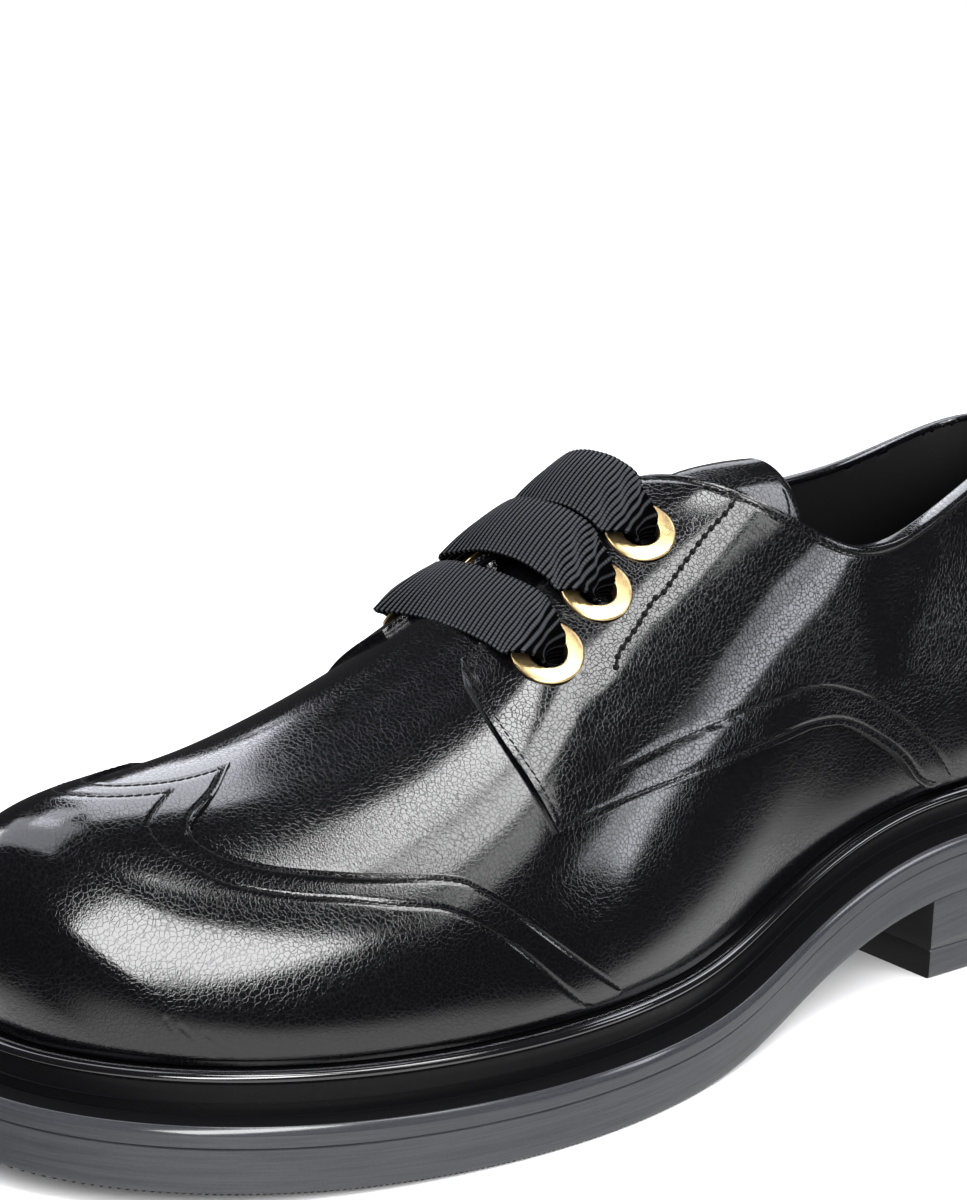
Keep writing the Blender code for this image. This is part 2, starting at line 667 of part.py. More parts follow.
def main():
    for old in list(bpy.data.objects):
        bpy.data.objects.remove(old)
    leather = material("polished black leather", (0.010, 0.010, 0.011), 0.22)
    lining = material("black lining leather", (0.012, 0.012, 0.012), 0.55)
    stacked = material("grey black stacked sole edge", (0.055, 0.056, 0.060), 0.50)
    glossy = material("glossy black rand", (0.006, 0.006, 0.006), 0.08)
    brass = material("pale brass", (0.80, 0.62, 0.34), 0.22, 1.0)
    ribbon = material("black grosgrain ribbon", (0.014, 0.014, 0.015), 0.75)
    build_outsole(stacked)
    build_heel(stacked, material("black top lift rubber", (0.040, 0.040, 0.042), 0.60))
    build_rand(glossy)
    build_insole(lining)
    walls = [build_upper(leather)]
    walls += build_quarters(leather)
    build_wing(leather)
    build_tongue(leather)
    build_eyelets(brass)
    punch_holes(walls, leather)
    for number, (row, rise) in enumerate(zip(EYELETS, BAR_RISE), start=1):
        build_lace_bar(f"lace_bar_{number}", row, rise, ribbon)


main()
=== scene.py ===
"""Dresses the solids of a lace-up derby shoe for the left foot: leather, stitches, ribbon, brass and sole.

Forms are worked out in millimetres on the shoe's last, with +X to the toe, +Y to the lateral side and
+Z up, and to_frame turns them into the solids' own frame in metres.
"""

import json
import math

import bpy
import numpy as np
from bpy.props import FloatProperty, FloatVectorProperty, IntProperty, PointerProperty
from mathutils import Matrix, Vector

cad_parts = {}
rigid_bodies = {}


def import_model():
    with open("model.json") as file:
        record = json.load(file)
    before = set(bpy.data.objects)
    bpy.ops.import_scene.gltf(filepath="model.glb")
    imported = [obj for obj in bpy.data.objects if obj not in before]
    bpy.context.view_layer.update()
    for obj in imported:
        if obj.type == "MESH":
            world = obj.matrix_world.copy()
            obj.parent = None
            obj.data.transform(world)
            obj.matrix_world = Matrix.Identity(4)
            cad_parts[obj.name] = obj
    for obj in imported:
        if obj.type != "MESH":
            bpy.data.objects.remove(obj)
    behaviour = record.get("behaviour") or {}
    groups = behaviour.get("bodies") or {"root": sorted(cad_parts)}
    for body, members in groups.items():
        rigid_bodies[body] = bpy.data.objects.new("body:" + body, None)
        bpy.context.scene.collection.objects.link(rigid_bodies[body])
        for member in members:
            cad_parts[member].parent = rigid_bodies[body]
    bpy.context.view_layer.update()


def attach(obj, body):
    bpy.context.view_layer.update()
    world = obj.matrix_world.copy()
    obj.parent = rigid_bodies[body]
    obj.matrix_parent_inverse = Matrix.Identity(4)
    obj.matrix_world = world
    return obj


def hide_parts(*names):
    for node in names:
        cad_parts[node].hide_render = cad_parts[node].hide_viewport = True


bl_info = {
    "name": "Lace-up derby shoe",
    "version": (1, 0, 0),
    "blender": (4, 5, 0),
    "location": "View3D > Sidebar > Shoe",
    "description": "Builds the visible leather, stitching, ribbon, brass and sole of a derby shoe",
    "category": "Object",
}

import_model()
MM = 0.001

# The sole, in millimetres
LENGTH = 251.0
HEEL_LIFT = 17.0
OUTSOLE_THICK = 11.8
RAND_HEIGHT = 7.6
TOE_SPRING = 3.4
SPRING_START = 165.0
WAIST_BACK = 44.5
WAIST_FRONT = 147.0
HEEL_BREAST = 66.0
TOP_LIFT_THICK = 6.0
OUTSOLE_REACH = 8.6
RAND_REACH = 4.0
INSOLE_THICK = 2.5
INSOLE_INSET = 1.9
FEATHER_TUCK = 0.5

# The last: a section runs from the feather line up to the collar or to the ridge of the instep.
# Columns: lateral_x lateral_y medial_x medial_y top_x lateral_top_y lateral_top_z medial_top_y
# medial_top_z foot_lean foot_pull top_lean top_pull
LAST = np.array((
    (0.0, 0.0, 0.0, 0.0, 8.0, 0.0, 101.5, 0.0, 101.5, 16, 26.0, 96, 20.0),
    (13.5, 22.0, 13.5, -22.0, 15.0, 14.0, 101.0, -14.0, 98.5, 15, 26.0, 95, 20.0),
    (42.0, 29.0, 41.5, -28.5, 36.0, 22.0, 99.5, -22.0, 90.5, 14, 24.0, 92, 18.0),
    (71.0, 28.5, 70.5, -26.5, 61.0, 24.0, 90.0, -23.5, 87.5, 12, 22.0, 88, 16.0),
    (99.5, 30.5, 99.5, -24.5, 85.0, 25.5, 88.0, -22.0, 88.0, 11, 22.0, 75, 18.0),
    (127.5, 37.5, 128.0, -27.0, 105.0, 16.0, 98.5, -13.5, 97.5, 11, 24.0, 50, 18.0),
    (156.0, 43.0, 156.0, -35.5, 123.0, 0.0, 98.5, 0.0, 98.5, 11, 26.0, 18, 22.0),
    (185.0, 42.0, 184.5, -40.5, 150.0, -0.5, 84.5, -0.5, 84.5, 12, 24.5, 18, 21.0),
    (213.0, 35.0, 214.0, -38.5, 176.0, -2.0, 71.5, -2.0, 71.5, 13, 21.5, 15, 21.5),
    (238.0, 20.0, 240.5, -25.5, 200.0, -4.0, 63.5, -4.0, 63.5, 14, 26.5, 10, 28.5),
    (251.0, -3.0, 251.0, -3.0, 213.0, -5.0, 61.5, -5.0, 61.5, 15, 39.0, 4, 37.5),
))
TOE = len(LAST) - 1
RING = 2 * TOE
RIDGE_BLEND = (6.0, 6.8)

# Edges on the last as (station, height): stations count the sections from the heel, and the height
# runs from 0 at the feather line to 1 at the top. Both sides of the shoe share them.
OVERLAY_FOOT = 0.02
QUARTER_SEAM = (
    (0.0, OVERLAY_FOOT), (2.62, OVERLAY_FOOT), (2.77, 0.061), (2.93, 0.153), (3.17, 0.252),
    (3.47, 0.358), (3.74, 0.423), (4.04, 0.448), (4.39, 0.435), (5.39, 0.381), (6.15, 0.355),
    (6.48, 0.352),
)
QUARTER_FRONT = (
    (6.48, 0.352), (6.57, 0.398), (6.70, 0.463), (6.87, 0.545), (7.02, 0.628), (7.13, 0.697),
    (7.20, 0.749), (7.22, 0.791),
)
FACING_EDGE = (
    (0.0, 1.0), (5.77, 1.0), (5.98, 0.942), (6.36, 0.865), (6.785, 0.818), (7.22, 0.791),
)
# The quarters stop short of each other at the back
BACK_SEAM = 0.003
THROAT_END = 26 * RING / 72
THROAT_ROUND = 6.3
THROAT_INSET = 0.02
WING_END = 0.05

# The wing's edge as (station at the feather line, station at the edge, height of the edge)
WING_LATERAL = (
    (5.95, 5.95, WING_END), (6.45, 6.45, 0.176), (6.96, 6.96, 0.308), (7.26, 7.26, 0.365),
    (7.89, 7.89, 0.430), (8.49, 8.49, 0.505), (8.78, 8.83, 0.581), (8.95, 8.96, 0.656),
    (9.32, 8.92, 0.754), (9.60, 8.96, 0.866),
)
WING_MEDIAL = (
    (9.60, 8.96, 0.866), (9.72, 9.30, 0.850), (9.86, 9.60, 0.840), (10.05, 10.00, 0.815),
    (10.22, 10.20, 0.805), (10.45, 10.45, 0.812), (10.75, 10.75, 0.805), (11.05, 11.05, 0.735),
    (11.65, 11.65, 0.590), (12.40, 12.40, 0.470), (13.05, 13.05, 0.330), (13.50, 13.50, 0.190),
    (14.05, 14.05, WING_END),
)

# Rows of stitches on the quarters, as (station, height)
QUARTER_ROW = (
    (6.43, 0.414), (6.03, 0.418), (5.56, 0.445), (4.95, 0.493), (4.47, 0.541), (4.13, 0.565),
    (3.84, 0.550), (3.48, 0.470), (3.08, 0.332), (2.74, 0.194), (2.57, 0.112), (2.46, 0.045),
)
FACING_ROW = (
    (5.02, 0.975), (5.10, 0.915), (5.22, 0.855), (5.40, 0.775), (5.60, 0.701), (5.69, 0.684),
    (5.85, 0.634), (5.99, 0.599), (6.02, 0.577),
)

WING_ROW_LATERAL = (
    (6.23, 0.022), (6.33, 0.053), (6.50, 0.107), (6.71, 0.172), (6.95, 0.236), (7.25, 0.299),
    (7.57, 0.337), (7.87, 0.373), (8.17, 0.403), (8.46, 0.437), (8.65, 0.466), (8.84, 0.511),
    (8.98, 0.548), (9.12, 0.597), (9.21, 0.651), (9.24, 0.700), (9.25, 0.780),
)
WING_ROW_MEDIAL = (
    (9.25, 0.780), (9.50, 0.769), (9.71, 0.755), (10.16, 0.723), (10.45, 0.718), (10.77, 0.715),
    (10.92, 0.707), (11.05, 0.673), (11.21, 0.634), (11.43, 0.580), (11.70, 0.523), (11.99, 0.478),
    (12.27, 0.440), (12.50, 0.399), (12.74, 0.352), (12.94, 0.304), (13.09, 0.261), (13.24, 0.207),
    (13.44, 0.146), (13.64, 0.088), (13.85, 0.030),
)

# Eyelets as (lateral station, height, medial station, height), toe end first. Each lace bar's rise over the
# throat, and how much higher its medial end stands. A pit under each eyelet takes its barrel.
EYELETS = (
    (6.57, 0.669, 6.53, 0.656),
    (6.15, 0.725, 6.07, 0.701),
    (5.78, 0.825, 5.69, 0.801),
)
BAR_RISE = (2.2, 4.2, 4.0)
MEDIAL_LIFT = (0.0, 2.0, 2.6)
EYELET_RADIUS = 6.5
EYELET_HOLE = 3.8
PIT_DEPTH = 4.0
PIT_SLOPE = (3.3, 5.2)

# The tongue's outer face as (x, crown, half width, lateral fall, medial fall), from vamp to free end
TONGUE = (
    (170.0, 71.6, 15.0, 5.4, 5.4),
    (160.0, 76.6, 17.0, 7.0, 7.4),
    (148.0, 83.0, 18.0, 8.4, 10.0),
    (134.0, 90.6, 19.0, 12.2, 19.0),
    (122.0, 95.8, 18.5, 12.8, 22.0),
    (110.0, 98.4, 18.0, 11.2, 20.5),
    (100.0, 99.8, 18.0, 12.0, 15.0),
    (92.0, 100.2, 17.4, 11.8, 11.5),
    (86.5, 100.2, 14.6, 8.6, 8.0),
    (84.0, 100.2, 9.5, 4.2, 4.2),
)

# Creases pressed into the leather as (station, height, station, height, width, depth)
CREASES = (
    (8.58, 0.040, 8.75, 0.105, 0.50, 0.10),
    (8.43, 0.040, 8.62, 0.092, 0.45, 0.07),
    (8.72, 0.050, 8.83, 0.120, 0.55, 0.07),
    (8.30, 0.038, 8.41, 0.075, 0.50, 0.04),
    (6.20, 0.500, 5.60, 0.560, 2.6, 0.08),
)

# How deep the polish is cracked and pored: smooth pebbled vamp and wing, cracked quarters
PEBBLED = (0.10, 0.22)
CRACKED = (0.20, 0.10)

# Lining and rolled topline: the stations and the height where they end, and sizes in millimetres
LINING_END = 6.1
LINING_TOP = 0.995
LINING_GAP = 0.05
TOPLINE_END = 5.76
TOPLINE_TAPER = 0.10
TOPLINE_OVERHANG = 0.5
TOPLINE_HALF = 0.75
TOPLINE_DROP = 0.25
TONGUE_ROW = 2.6

# Sides of the sole, in millimetres: the scored line of the outsole, and the rand's raised line, its bead
# and the level where its lacquer ends, which are measured from the feather line
SCORE_HEIGHT = 8.1
SCORE_HALF = 0.22
RAND_LINE = -5.5
BEAD_CENTRE = (RAND_REACH - 1.2, -1.45)
BEAD_RADIUS = 1.05
LACQUER_END = -2.2
TREAD_INSET = 0.55
TREAD_END = 1.5
HEEL_ACROSS = 12

# The ribbon, in millimetres from an end: where it opens out of its eyelets, where it is pleated and how
# far, and where its ribs come up
TROUGH_OPENS = (3.5, 13.0)
TUNNEL_OPENS = (4.0, 14.0)
PLEATS_RISE = (4.0, 9.0)
PLEATS_FALL = (12.0, 20.0)
PLEAT_LIFTS = (0.10, 0.34, 0.22)
PLEAT_LENGTH = 9.0
PLEAT_SLANT = 7.0
RIBS_RISE = (2.5, 10.0)
# How far its edges curl up at the lateral eyelet, down at the medial one and down all along, in
# millimetres, and which shares of its width it loses where it is gathered and gains at each rib
TROUGH_CURL = 3.0
TUNNEL_CURL = 2.6
CROWN_CURL = 0.5
GATHERED = 0.54
SCALLOP = 0.012

# Rounding of cut edges, in millimetres
QUARTER_ROUND = 0.28
WING_ROUND = 0.25
TONGUE_ROUND = 0.4
LINING_ROUND = 0.2
HEEL_ROUND = 0.25
# Half width of the groove that a thread pulls in, in millimetres, and the slant of the stitches
GROOVE_HALF = 0.35
STITCH_SLANT = math.radians(7.0)
# Edges sharper than the first angle are rounded, and smoother than the second are shaded round
ROUNDED_OVER = math.radians(50.0)
SHADED_UNDER = math.radians(42.0)
# Step in station or height over which the last's slopes are read
STEP = 1e-3

# The camera, as solved for the photograph's frame: place on the last in millimetres, degrees, pixels
CAMERA_PLACE = (449.1, 359.0, 202.3)
CAMERA_HEADING = 50.41
CAMERA_PITCH = 14.54
CAMERA_ROLL = 1.73
CAMERA_FOCUS = 2667.09
FRAME_HEIGHT = 1200.0
SENSOR = 36.0

# Softboxes as (name, azimuth and elevation of one end and of the other in degrees as seen from the shoe's
# middle, distance in metres, width in degrees, brightness, colour)
SHOE_MIDDLE = (0.0, 0.0, 0.05)
SOFTBOXES = (
    ("side strip", (48.0, 7.0), (85.0, 39.5), 1.25, 14.5, 18.5, "#FFFFFF"),
    ("upper strip", (94.0, 50.0), (125.0, 50.0), 1.25, 14.0, 12.5, "#FFFFFF"),
    ("top box", (74.0, 67.0), (104.0, 67.5), 4.00, 18.0, 17.0, "#FFFFFF"),
    ("veil", (98.0, 35.0), (114.0, 35.0), 1.25, 12.0, 4.0, "#FFFFFF"),
    ("back strip", (-116.0, 32.0), (-166.0, 72.0), 1.30, 16.0, 8.0, "#F4F6FF"),
    ("back card", (-140.0, 18.0), (-118.0, 18.0), 1.30, 14.0, 1.8, "#F4F6FF"),
    ("heel card", (160.0, 43.0), (186.0, 43.0), 1.30, 14.0, 6.0, "#F4F6FF"),
    ("fill card", (132.7, 4.5), (121.9, 16.9), 0.305, 11.6, 6.0, "#F2F5FC"),
    ("fill core", (132.7, 4.5), (127.3, 10.8), 0.305, 11.6, 3.0, "#F2F5FC"),
    ("far strip", (-30.0, 12.0), (-72.0, 38.0), 1.30, 14.0, 9.0, "#FFFFFF"),
    ("toe card", (-55.0, 60.0), (-22.0, 52.0), 0.205, 16.0, 6.0, "#F4F6FF"),
    ("toe glow", (15.0, 63.0), (-41.0, 32.0), 0.240, 34.0, 4.0, "#F4F6FF"),
)
# The softbox that a flag keeps off a piece, and the piece
FLAGGED = ("top box", "wing_toe_cap")
# The floor that the polish mirrors, as two lobes: a direction, and the cosines between which it fades in
FLOOR_LOBES = (((0.074, 0.525, -0.848), 0.60, 0.76), ((-0.2, 0.0, -1.0), 0.44, 0.52))
FLOOR_GLOW = 1.8
ROOM_GLOW = 0.045
# A broad sun from above that the polish doesn't mirror: strength, angle and tilt in degrees
SUN_STRENGTH = 7.5
SUN_ANGLE = 100.0
SUN_TILT = (-18.0, 10.0, 0.0)
FLOOR_SIZE = 40.0


def linear(code):
    """Linear RGBA of an sRGB hex colour."""
    parts = [int(code[i:i + 2], 16) / 255.0 for i in (1, 3, 5)]
    rgb = [c / 12.92 if c <= 0.04045 else ((c + 0.055) / 1.055) ** 2.4 for c in parts]
    return (*rgb, 1.0)


def colour_property(label, code, words):
    """A colour that a user may change."""
    return FloatVectorProperty(
        name=label, description=words, default=linear(code), size=4, subtype="COLOR", min=0.0, max=1.0
    )


def length_property(label, millimetres, words):
    """A length that a user may change, kept in metres."""
    return FloatProperty(
        name=label, description=words, default=millimetres * MM, subtype="DISTANCE", unit="LENGTH"
    )


class ShoeSizes(bpy.types.PropertyGroup):
    """Sizes of the shoe's leather, thread and ribbon."""

    wall: length_property("Wall", 0.8, "Thickness of the vamp's leather")
    quarter: length_property("Quarter", 1.25, "Thickness of the quarters' leather")
    wing: length_property("Wing", 0.6, "Thickness of the wing cap's leather")
    lining: length_property("Lining", 0.6, "Thickness of the collar's lining")
    tongue: length_property("Tongue", 1.6, "Thickness of the tongue")
    stitch_pitch: length_property("Stitch pitch", 1.55, "Distance from stitch to stitch")
    stitch_length: length_property("Stitch length", 1.75, "Length of one stitch on the surface")
    thread: length_property("Thread", 0.40, "Width of the sewing thread")
    edge_row: length_property("Edge row", 1.2, "Distance of the first row of stitches from an edge")
    wing_row: length_property("Wing row", 1.0, "Distance of the wing's first row from its edge")
    facing_pitch: length_property("Facing pitch", 2.2, "Distance from stitch to stitch down the facing")
    facing_thread: length_property("Facing thread", 0.5, "Width of the facing's thread")
    groove: length_property("Groove", 0.16, "How deep the thread pulls the leather in")
    ribbon_width: length_property("Ribbon width", 15.0, "Width of the lace's ribbon")
    ribbon_thick: length_property("Ribbon thickness", 0.6, "Thickness of the lace's ribbon")
    rib_pitch: length_property("Rib pitch", 1.2, "Distance from rib to rib along the ribbon")
    rib_height: length_property("Rib height", 0.11, "How far a rib stands out")
    grain: length_property("Grain", 0.85, "Width of one cell of the cracked leather grain")
    score: length_property("Score", 0.45, "Depth of the line scored round the outsole")
    tread: length_property("Tread", 0.24, "Height of the tread's fine ribs")
    tread_pitch: length_property("Tread pitch", 1.0, "Distance from rib to rib of the tread")


class ShoeColours(bpy.types.PropertyGroup):
    """Colours of the shoe's materials."""

    leather: colour_property("Leather", "#040405", "Polished leather")
    leather_worn: colour_property("Rubbed leather", "#0A0A0C", "Leather where the finish is cracked")
    lining: colour_property("Lining", "#030304", "Lining leather inside the collar")
    rand: colour_property("Rand", "#070708", "Glossy rand")
    sole: colour_property("Sole edge", "#2B2C2F", "Brushed side of outsole and heel")
    sole_streak: colour_property("Sole streaks", "#212225", "Dark streaks along the sole's side")
    tread: colour_property("Tread", "#060607", "Rubber under the sole")
    brass: colour_property("Brass", "#DEC28C", "Eyelets")
    # The ribbon's two colours: the paler one is a painted highlight on the ribs' crests, and the black one
    # is painted shade in the gaps between them
    ribbon: colour_property("Ribbon", "#2A2B2E", "Raised ribs of the lace's ribbon")
    ribbon_gap_painted_shade: colour_property("Ribbon gaps", "#020202", "Gaps between the ribs of the lace's ribbon")
    thread: colour_property("Thread", "#020202", "Sewing thread")
    floor: colour_property("Floor", "#B4B4B5", "Paper that the shoe stands on")


def smooth_step(low, high, x):
    """0 below low, 1 above high, with no kink in slope or bend between."""
    t = np.clip((x - low) / (high - low), 0.0, 1.0)
    return t**3 * (t * (6.0 * t - 15.0) + 10.0)


def unit(vectors):
    """Directions of length 1."""
    return vectors / np.linalg.norm(vectors, axis=-1, keepdims=True)


def cubic(start, end, start_slope, end_slope, t):
    """A curve from start to end with the given slopes, as t runs from 0 to 1."""
    first = start * (1.0 + 2.0 * t) + start_slope * t
    last = end * (3.0 - 2.0 * t) - end_slope * (1.0 - t)
    return first * (1.0 - t) ** 2 + last * t**2


def closed_spline(values):
    """A smooth closed curve through values at stations 0, 1, 2 and so on."""
    values = np.asarray(values, float)
    count = len(values)
    eye = np.eye(count)
    system = 4.0 * eye + np.roll(eye, 1, axis=0) + np.roll(eye, -1, axis=0)
    bend = np.linalg.solve(system, np.roll(values, -1) - 2.0 * values + np.roll(values, 1))

    def at(station):
        whole = np.floor(station)
        t = station - whole
        i = whole.astype(int) % count
        j = (i + 1) % count
        line = (1.0 - t) * values[i] + t * values[j]
        return line + ((1.0 - t) ** 3 - (1.0 - t)) * bend[i] + (t**3 - t) * bend[j]

    return at


def monotone_curve(places, values):
    """A smooth curve through the values that never overshoots them."""
    places = np.asarray(places, float)
    values = np.asarray(values, float)
    step = np.diff(places)
    rate = np.diff(values) / step
    slope = np.concatenate([rate[:1], np.zeros(len(rate) - 1), rate[-1:]])
    for k in range(1, len(rate)):
        if rate[k - 1] * rate[k] > 0.0:
            before = 2.0 * step[k] + step[k - 1]
            after = step[k] + 2.0 * step[k - 1]
            slope[k] = (before + after) / (before / rate[k - 1] + after / rate[k])

    def at(place):
        k = np.clip(np.searchsorted(places, place, side="right") - 1, 0, len(step) - 1)
        t = np.clip((place - places[k]) / step[k], 0.0, 1.0)
        return cubic(values[k], values[k + 1], slope[k] * step[k], slope[k + 1] * step[k], t)

    return at


def hermite(rows, count):
    """A smooth run of points through the rows of a table."""
    rows = np.asarray(rows, float)
    slope = np.gradient(rows, axis=0)
    place = np.linspace(0.0, len(rows) - 1.0, count)
    k = np.minimum(place.astype(int), len(rows) - 2)
    return cubic(rows[k], rows[k + 1], slope[k], slope[k + 1], (place - k)[:, None])


def both_sides(lateral, medial):
    """A spline round the shoe: heel, lateral sections, toe and medial sections."""
    return closed_spline(np.concatenate([LAST[:, lateral], LAST[-2:0:-1, medial]]))


FOOT_X, FOOT_Y = both_sides(0, 2), both_sides(1, 3)
TOP_X, TOP_Y, TOP_Z = both_sides(4, 4), both_sides(5, 7), both_sides(6, 8)
FOOT_LEAN, FOOT_PULL = both_sides(9, 9), both_sides(10, 10)
TOP_LEAN, TOP_PULL = both_sides(11, 11), both_sides(12, 12)


def tread_height(x):
    """Underside of the outsole above the floor: heel seat, waist, flat forefoot and toe spring."""
    heel = HEEL_LIFT * (1.0 - smooth_step(WAIST_BACK, WAIST_FRONT, x))
    toe = np.clip((x - SPRING_START) / (LENGTH - SPRING_START), 0.0, None)
    return heel + TOE_SPRING * toe**2


def feather_height(x):
    """Top of the rand, where the upper meets it."""
    return tread_height(x) + OUTSOLE_THICK + RAND_HEIGHT


def ridge_value(curve, station):
    """A top value that both sides share along the ridge."""
    side = np.minimum(station % RING, RING - station % RING)
    blend = 0.5 * smooth_step(*RIDGE_BLEND, side)
    return (1.0 - blend) * curve(station) + blend * curve(RING - station)


def last_point(station, height):
    """The outer face of the upper."""
    station, height = np.broadcast_arrays(np.asarray(station, float), np.asarray(height, float))
    foot = np.stack([FOOT_X(station), FOOT_Y(station)], axis=-1)
    top = np.stack([ridge_value(TOP_X, station), ridge_value(TOP_Y, station)], axis=-1)
    reach = np.linalg.norm(top - foot, axis=-1)
    inward = (top - foot) / reach[..., None]
    foot_z = feather_height(foot[..., 0]) - FEATHER_TUCK
    top_z = ridge_value(TOP_Z, station)
    foot_lean = np.radians(FOOT_LEAN(station))
    top_lean = np.radians(TOP_LEAN(station))
    in_1 = -FOOT_PULL(station) * np.sin(foot_lean)
    up_1 = foot_z + FOOT_PULL(station) * np.cos(foot_lean)
    in_2 = reach - TOP_PULL(station) * np.cos(top_lean)
    up_2 = top_z - TOP_PULL(station) * np.sin(top_lean)
    rest = 1.0 - height
    weights = (rest**3, 3.0 * height * rest**2, 3.0 * height**2 * rest, height**3)
    run = weights[1] * in_1 + weights[2] * in_2 + weights[3] * reach
    rise = weights[0] * foot_z + weights[1] * up_1 + weights[2] * up_2 + weights[3] * top_z
    return np.concatenate([foot + inward * run[..., None], rise[..., None]], axis=-1)


def slopes(station, height):
    """How the outer face runs along the stations and up the heights, read just short of the ridge."""
    height = np.minimum(height, 0.99)
    along = last_point(station + STEP, height) - last_point(station - STEP, height)
    upward = last_point(station, height + STEP) - last_point(station, height - STEP)
    return along / (2.0 * STEP), upward / (2.0 * STEP)


def last_normal(station, height):
    """Outward direction of the upper's outer face."""
    along, upward = slopes(station, height)
    return unit(np.cross(upward, along))


def skin(station, height, lift):
    """A point lifted off the upper's outer face, or sunk into it."""
    station, height = np.broadcast_arrays(np.asarray(station, float), np.asarray(height, float))
    lift = np.broadcast_to(np.asarray(lift, float), station.shape)
    return last_point(station, height) + lift[..., None] * last_normal(station, height)


def sole_outline(reach, stations):
    """Points round the feather line, moved outwards by reach."""
    behind, point, ahead = (
        np.stack([FOOT_X(stations + step), FOOT_Y(stations + step)], axis=-1) for step in (-STEP, 0.0, STEP)
    )
    along = unit(ahead - behind)
    return point + reach * np.stack([-along[:, 1], along[:, 0]], axis=-1)


def plan_centre():
    """Middle of the outsole's outline seen from above, which stands over the origin."""
    outline = sole_outline(OUTSOLE_REACH, np.arange(0.0, RING, 0.05))
    middle = 0.5 * (outline.min(axis=0) + outline.max(axis=0))
    return np.array([middle[0], middle[1], 0.0])


CENTRE = plan_centre()


def to_frame(points):
    """Millimetres on the last to metres in the solids' frame."""
    return (np.asarray(points, float) - CENTRE) * MM


def throat_edge(side):
    """Height of the vamp's top edge: the collar, then the slot between the facings."""
    facing = monotone_curve(*zip(*FACING_EDGE))(side)
    past = np.clip((side - THROAT_ROUND) / (THROAT_END - THROAT_ROUND), 0.0, 1.0)
    width = np.where(facing < 1.0, 1.0 - facing + THROAT_INSET, 0.0)
    return 1.0 - width * np.sqrt(1.0 - past**2)


def distance_to(points, line):
    """Distance of each point from the nearest point of a finely divided line."""
    flat = points.reshape(-1, 3)
    found = np.empty(len(flat))
    for start in range(0, len(flat), 4000):
        block = flat[start:start + 4000, None, :] - line[None, :, :]
        found[start:start + 4000] = np.sqrt((block**2).sum(axis=-1).min(axis=1))
    return found.reshape(points.shape[:-1])


def resampled(line, pitch, first=0.5):
    """Points at an even pitch along a line of any columns, the first three of which are a place."""
    length = np.concatenate([[0.0], np.cumsum(np.linalg.norm(np.diff(line[:, :3], axis=0), axis=1))])
    count = max(2, int(round(length[-1] / pitch)))
    places = (np.arange(count) + first) * length[-1] / count
    return np.stack([np.interp(places, length, column) for column in line.T], axis=-1)


def placed(curve):
    """A curve of (station, height) with its places in front: x, y, z, station, height."""
    return np.concatenate([last_point(curve[:, 0], curve[:, 1]), curve], axis=1)


def on_skin(rows):
    """A finely divided curve on the leather through a table of (station, height)."""
    return placed(hermite(rows, 600))


def inset(line, distance, sign):
    """A line moved sideways over the leather by a distance, with what crosses itself left out."""
    station, height = line[:, 3], line[:, 4]
    along, upward = slopes(station, height)
    tangent = unit(np.gradient(line[:, :3], axis=0))
    sideways = sign * np.cross(tangent, last_normal(station, height)) * distance
    moved = []
    for k, way in enumerate(sideways):
        axes = np.stack([along[k], upward[k]], axis=1)
        moved.append(line[k, 3:] + np.linalg.lstsq(axes, way, rcond=None)[0])
    moved = np.array(moved)
    places = last_point(moved[:, 0], np.clip(moved[:, 1], 0.0, 1.0))
    keep = distance_to(places, line[:, :3]) > 0.96 * distance
    keep &= (moved[:, 1] > OVERLAY_FOOT) & (moved[:, 1] < 1.0)
    return np.concatenate([places, moved], axis=1)[keep]


def creases(points):
    """How far the leather is pressed in by its creases."""
    depth = np.zeros(points.shape[:-1])
    for station_a, height_a, station_b, height_b, width, deep in CREASES:
        line = last_point(np.linspace(station_a, station_b, 40), np.linspace(height_a, height_b, 40))
        off = distance_to(points, line) / width
        depth += deep * (1.0 - 0.8 * off**2) * np.exp(-(off**2))
    return depth


def ripples(points):
    """Slight unevenness of hand-lasted leather, as a lift in millimetres."""
    x, y, z = points[..., 0], points[..., 1], points[..., 2]
    slow = np.sin(x / 9.3 + 1.1 * np.sin(z / 11.0)) * np.sin(z / 7.1 + y / 13.0 + 0.7)
    quick = np.sin(x / 4.1 + z / 5.3) * np.sin(z / 3.7 - y / 4.9 + 1.9)
    return 0.022 * slow + 0.009 * quick


def eyelet_place(row, medial):
    """Station and height of an eyelet."""
    return (RING - row[2], row[3]) if medial else (row[0], row[1])


def pits(points):
    """How far the leather is punched in at the eyelets, which hide the pits' slopes."""
    depth = np.zeros(points.shape[:-1])
    for row in EYELETS:
        for medial in (False, True):
            off = np.linalg.norm(points - last_point(*eyelet_place(row, medial)), axis=-1)
            depth = np.maximum(depth, PIT_DEPTH * (1.0 - smooth_step(*PIT_SLOPE, off)))
    return depth


def choose(piece=None):
    """Leaves one piece selected, or none, in object mode."""
    if bpy.context.mode != "OBJECT":
        bpy.ops.object.mode_set(mode="OBJECT")
    bpy.ops.object.select_all(action="DESELECT")
    if piece:
        piece.select_set(True)
        bpy.context.view_layer.objects.active = piece


def mesh_piece(name, points, faces):
    """A piece from points in millimetres and from faces that count them."""
    mesh = bpy.data.meshes.new(name)
    mesh.from_pydata(to_frame(points).tolist(), [], faces)
    piece = bpy.data.objects.new(name, mesh)
    bpy.context.collection.objects.link(piece)
    choose(piece)
    return piece


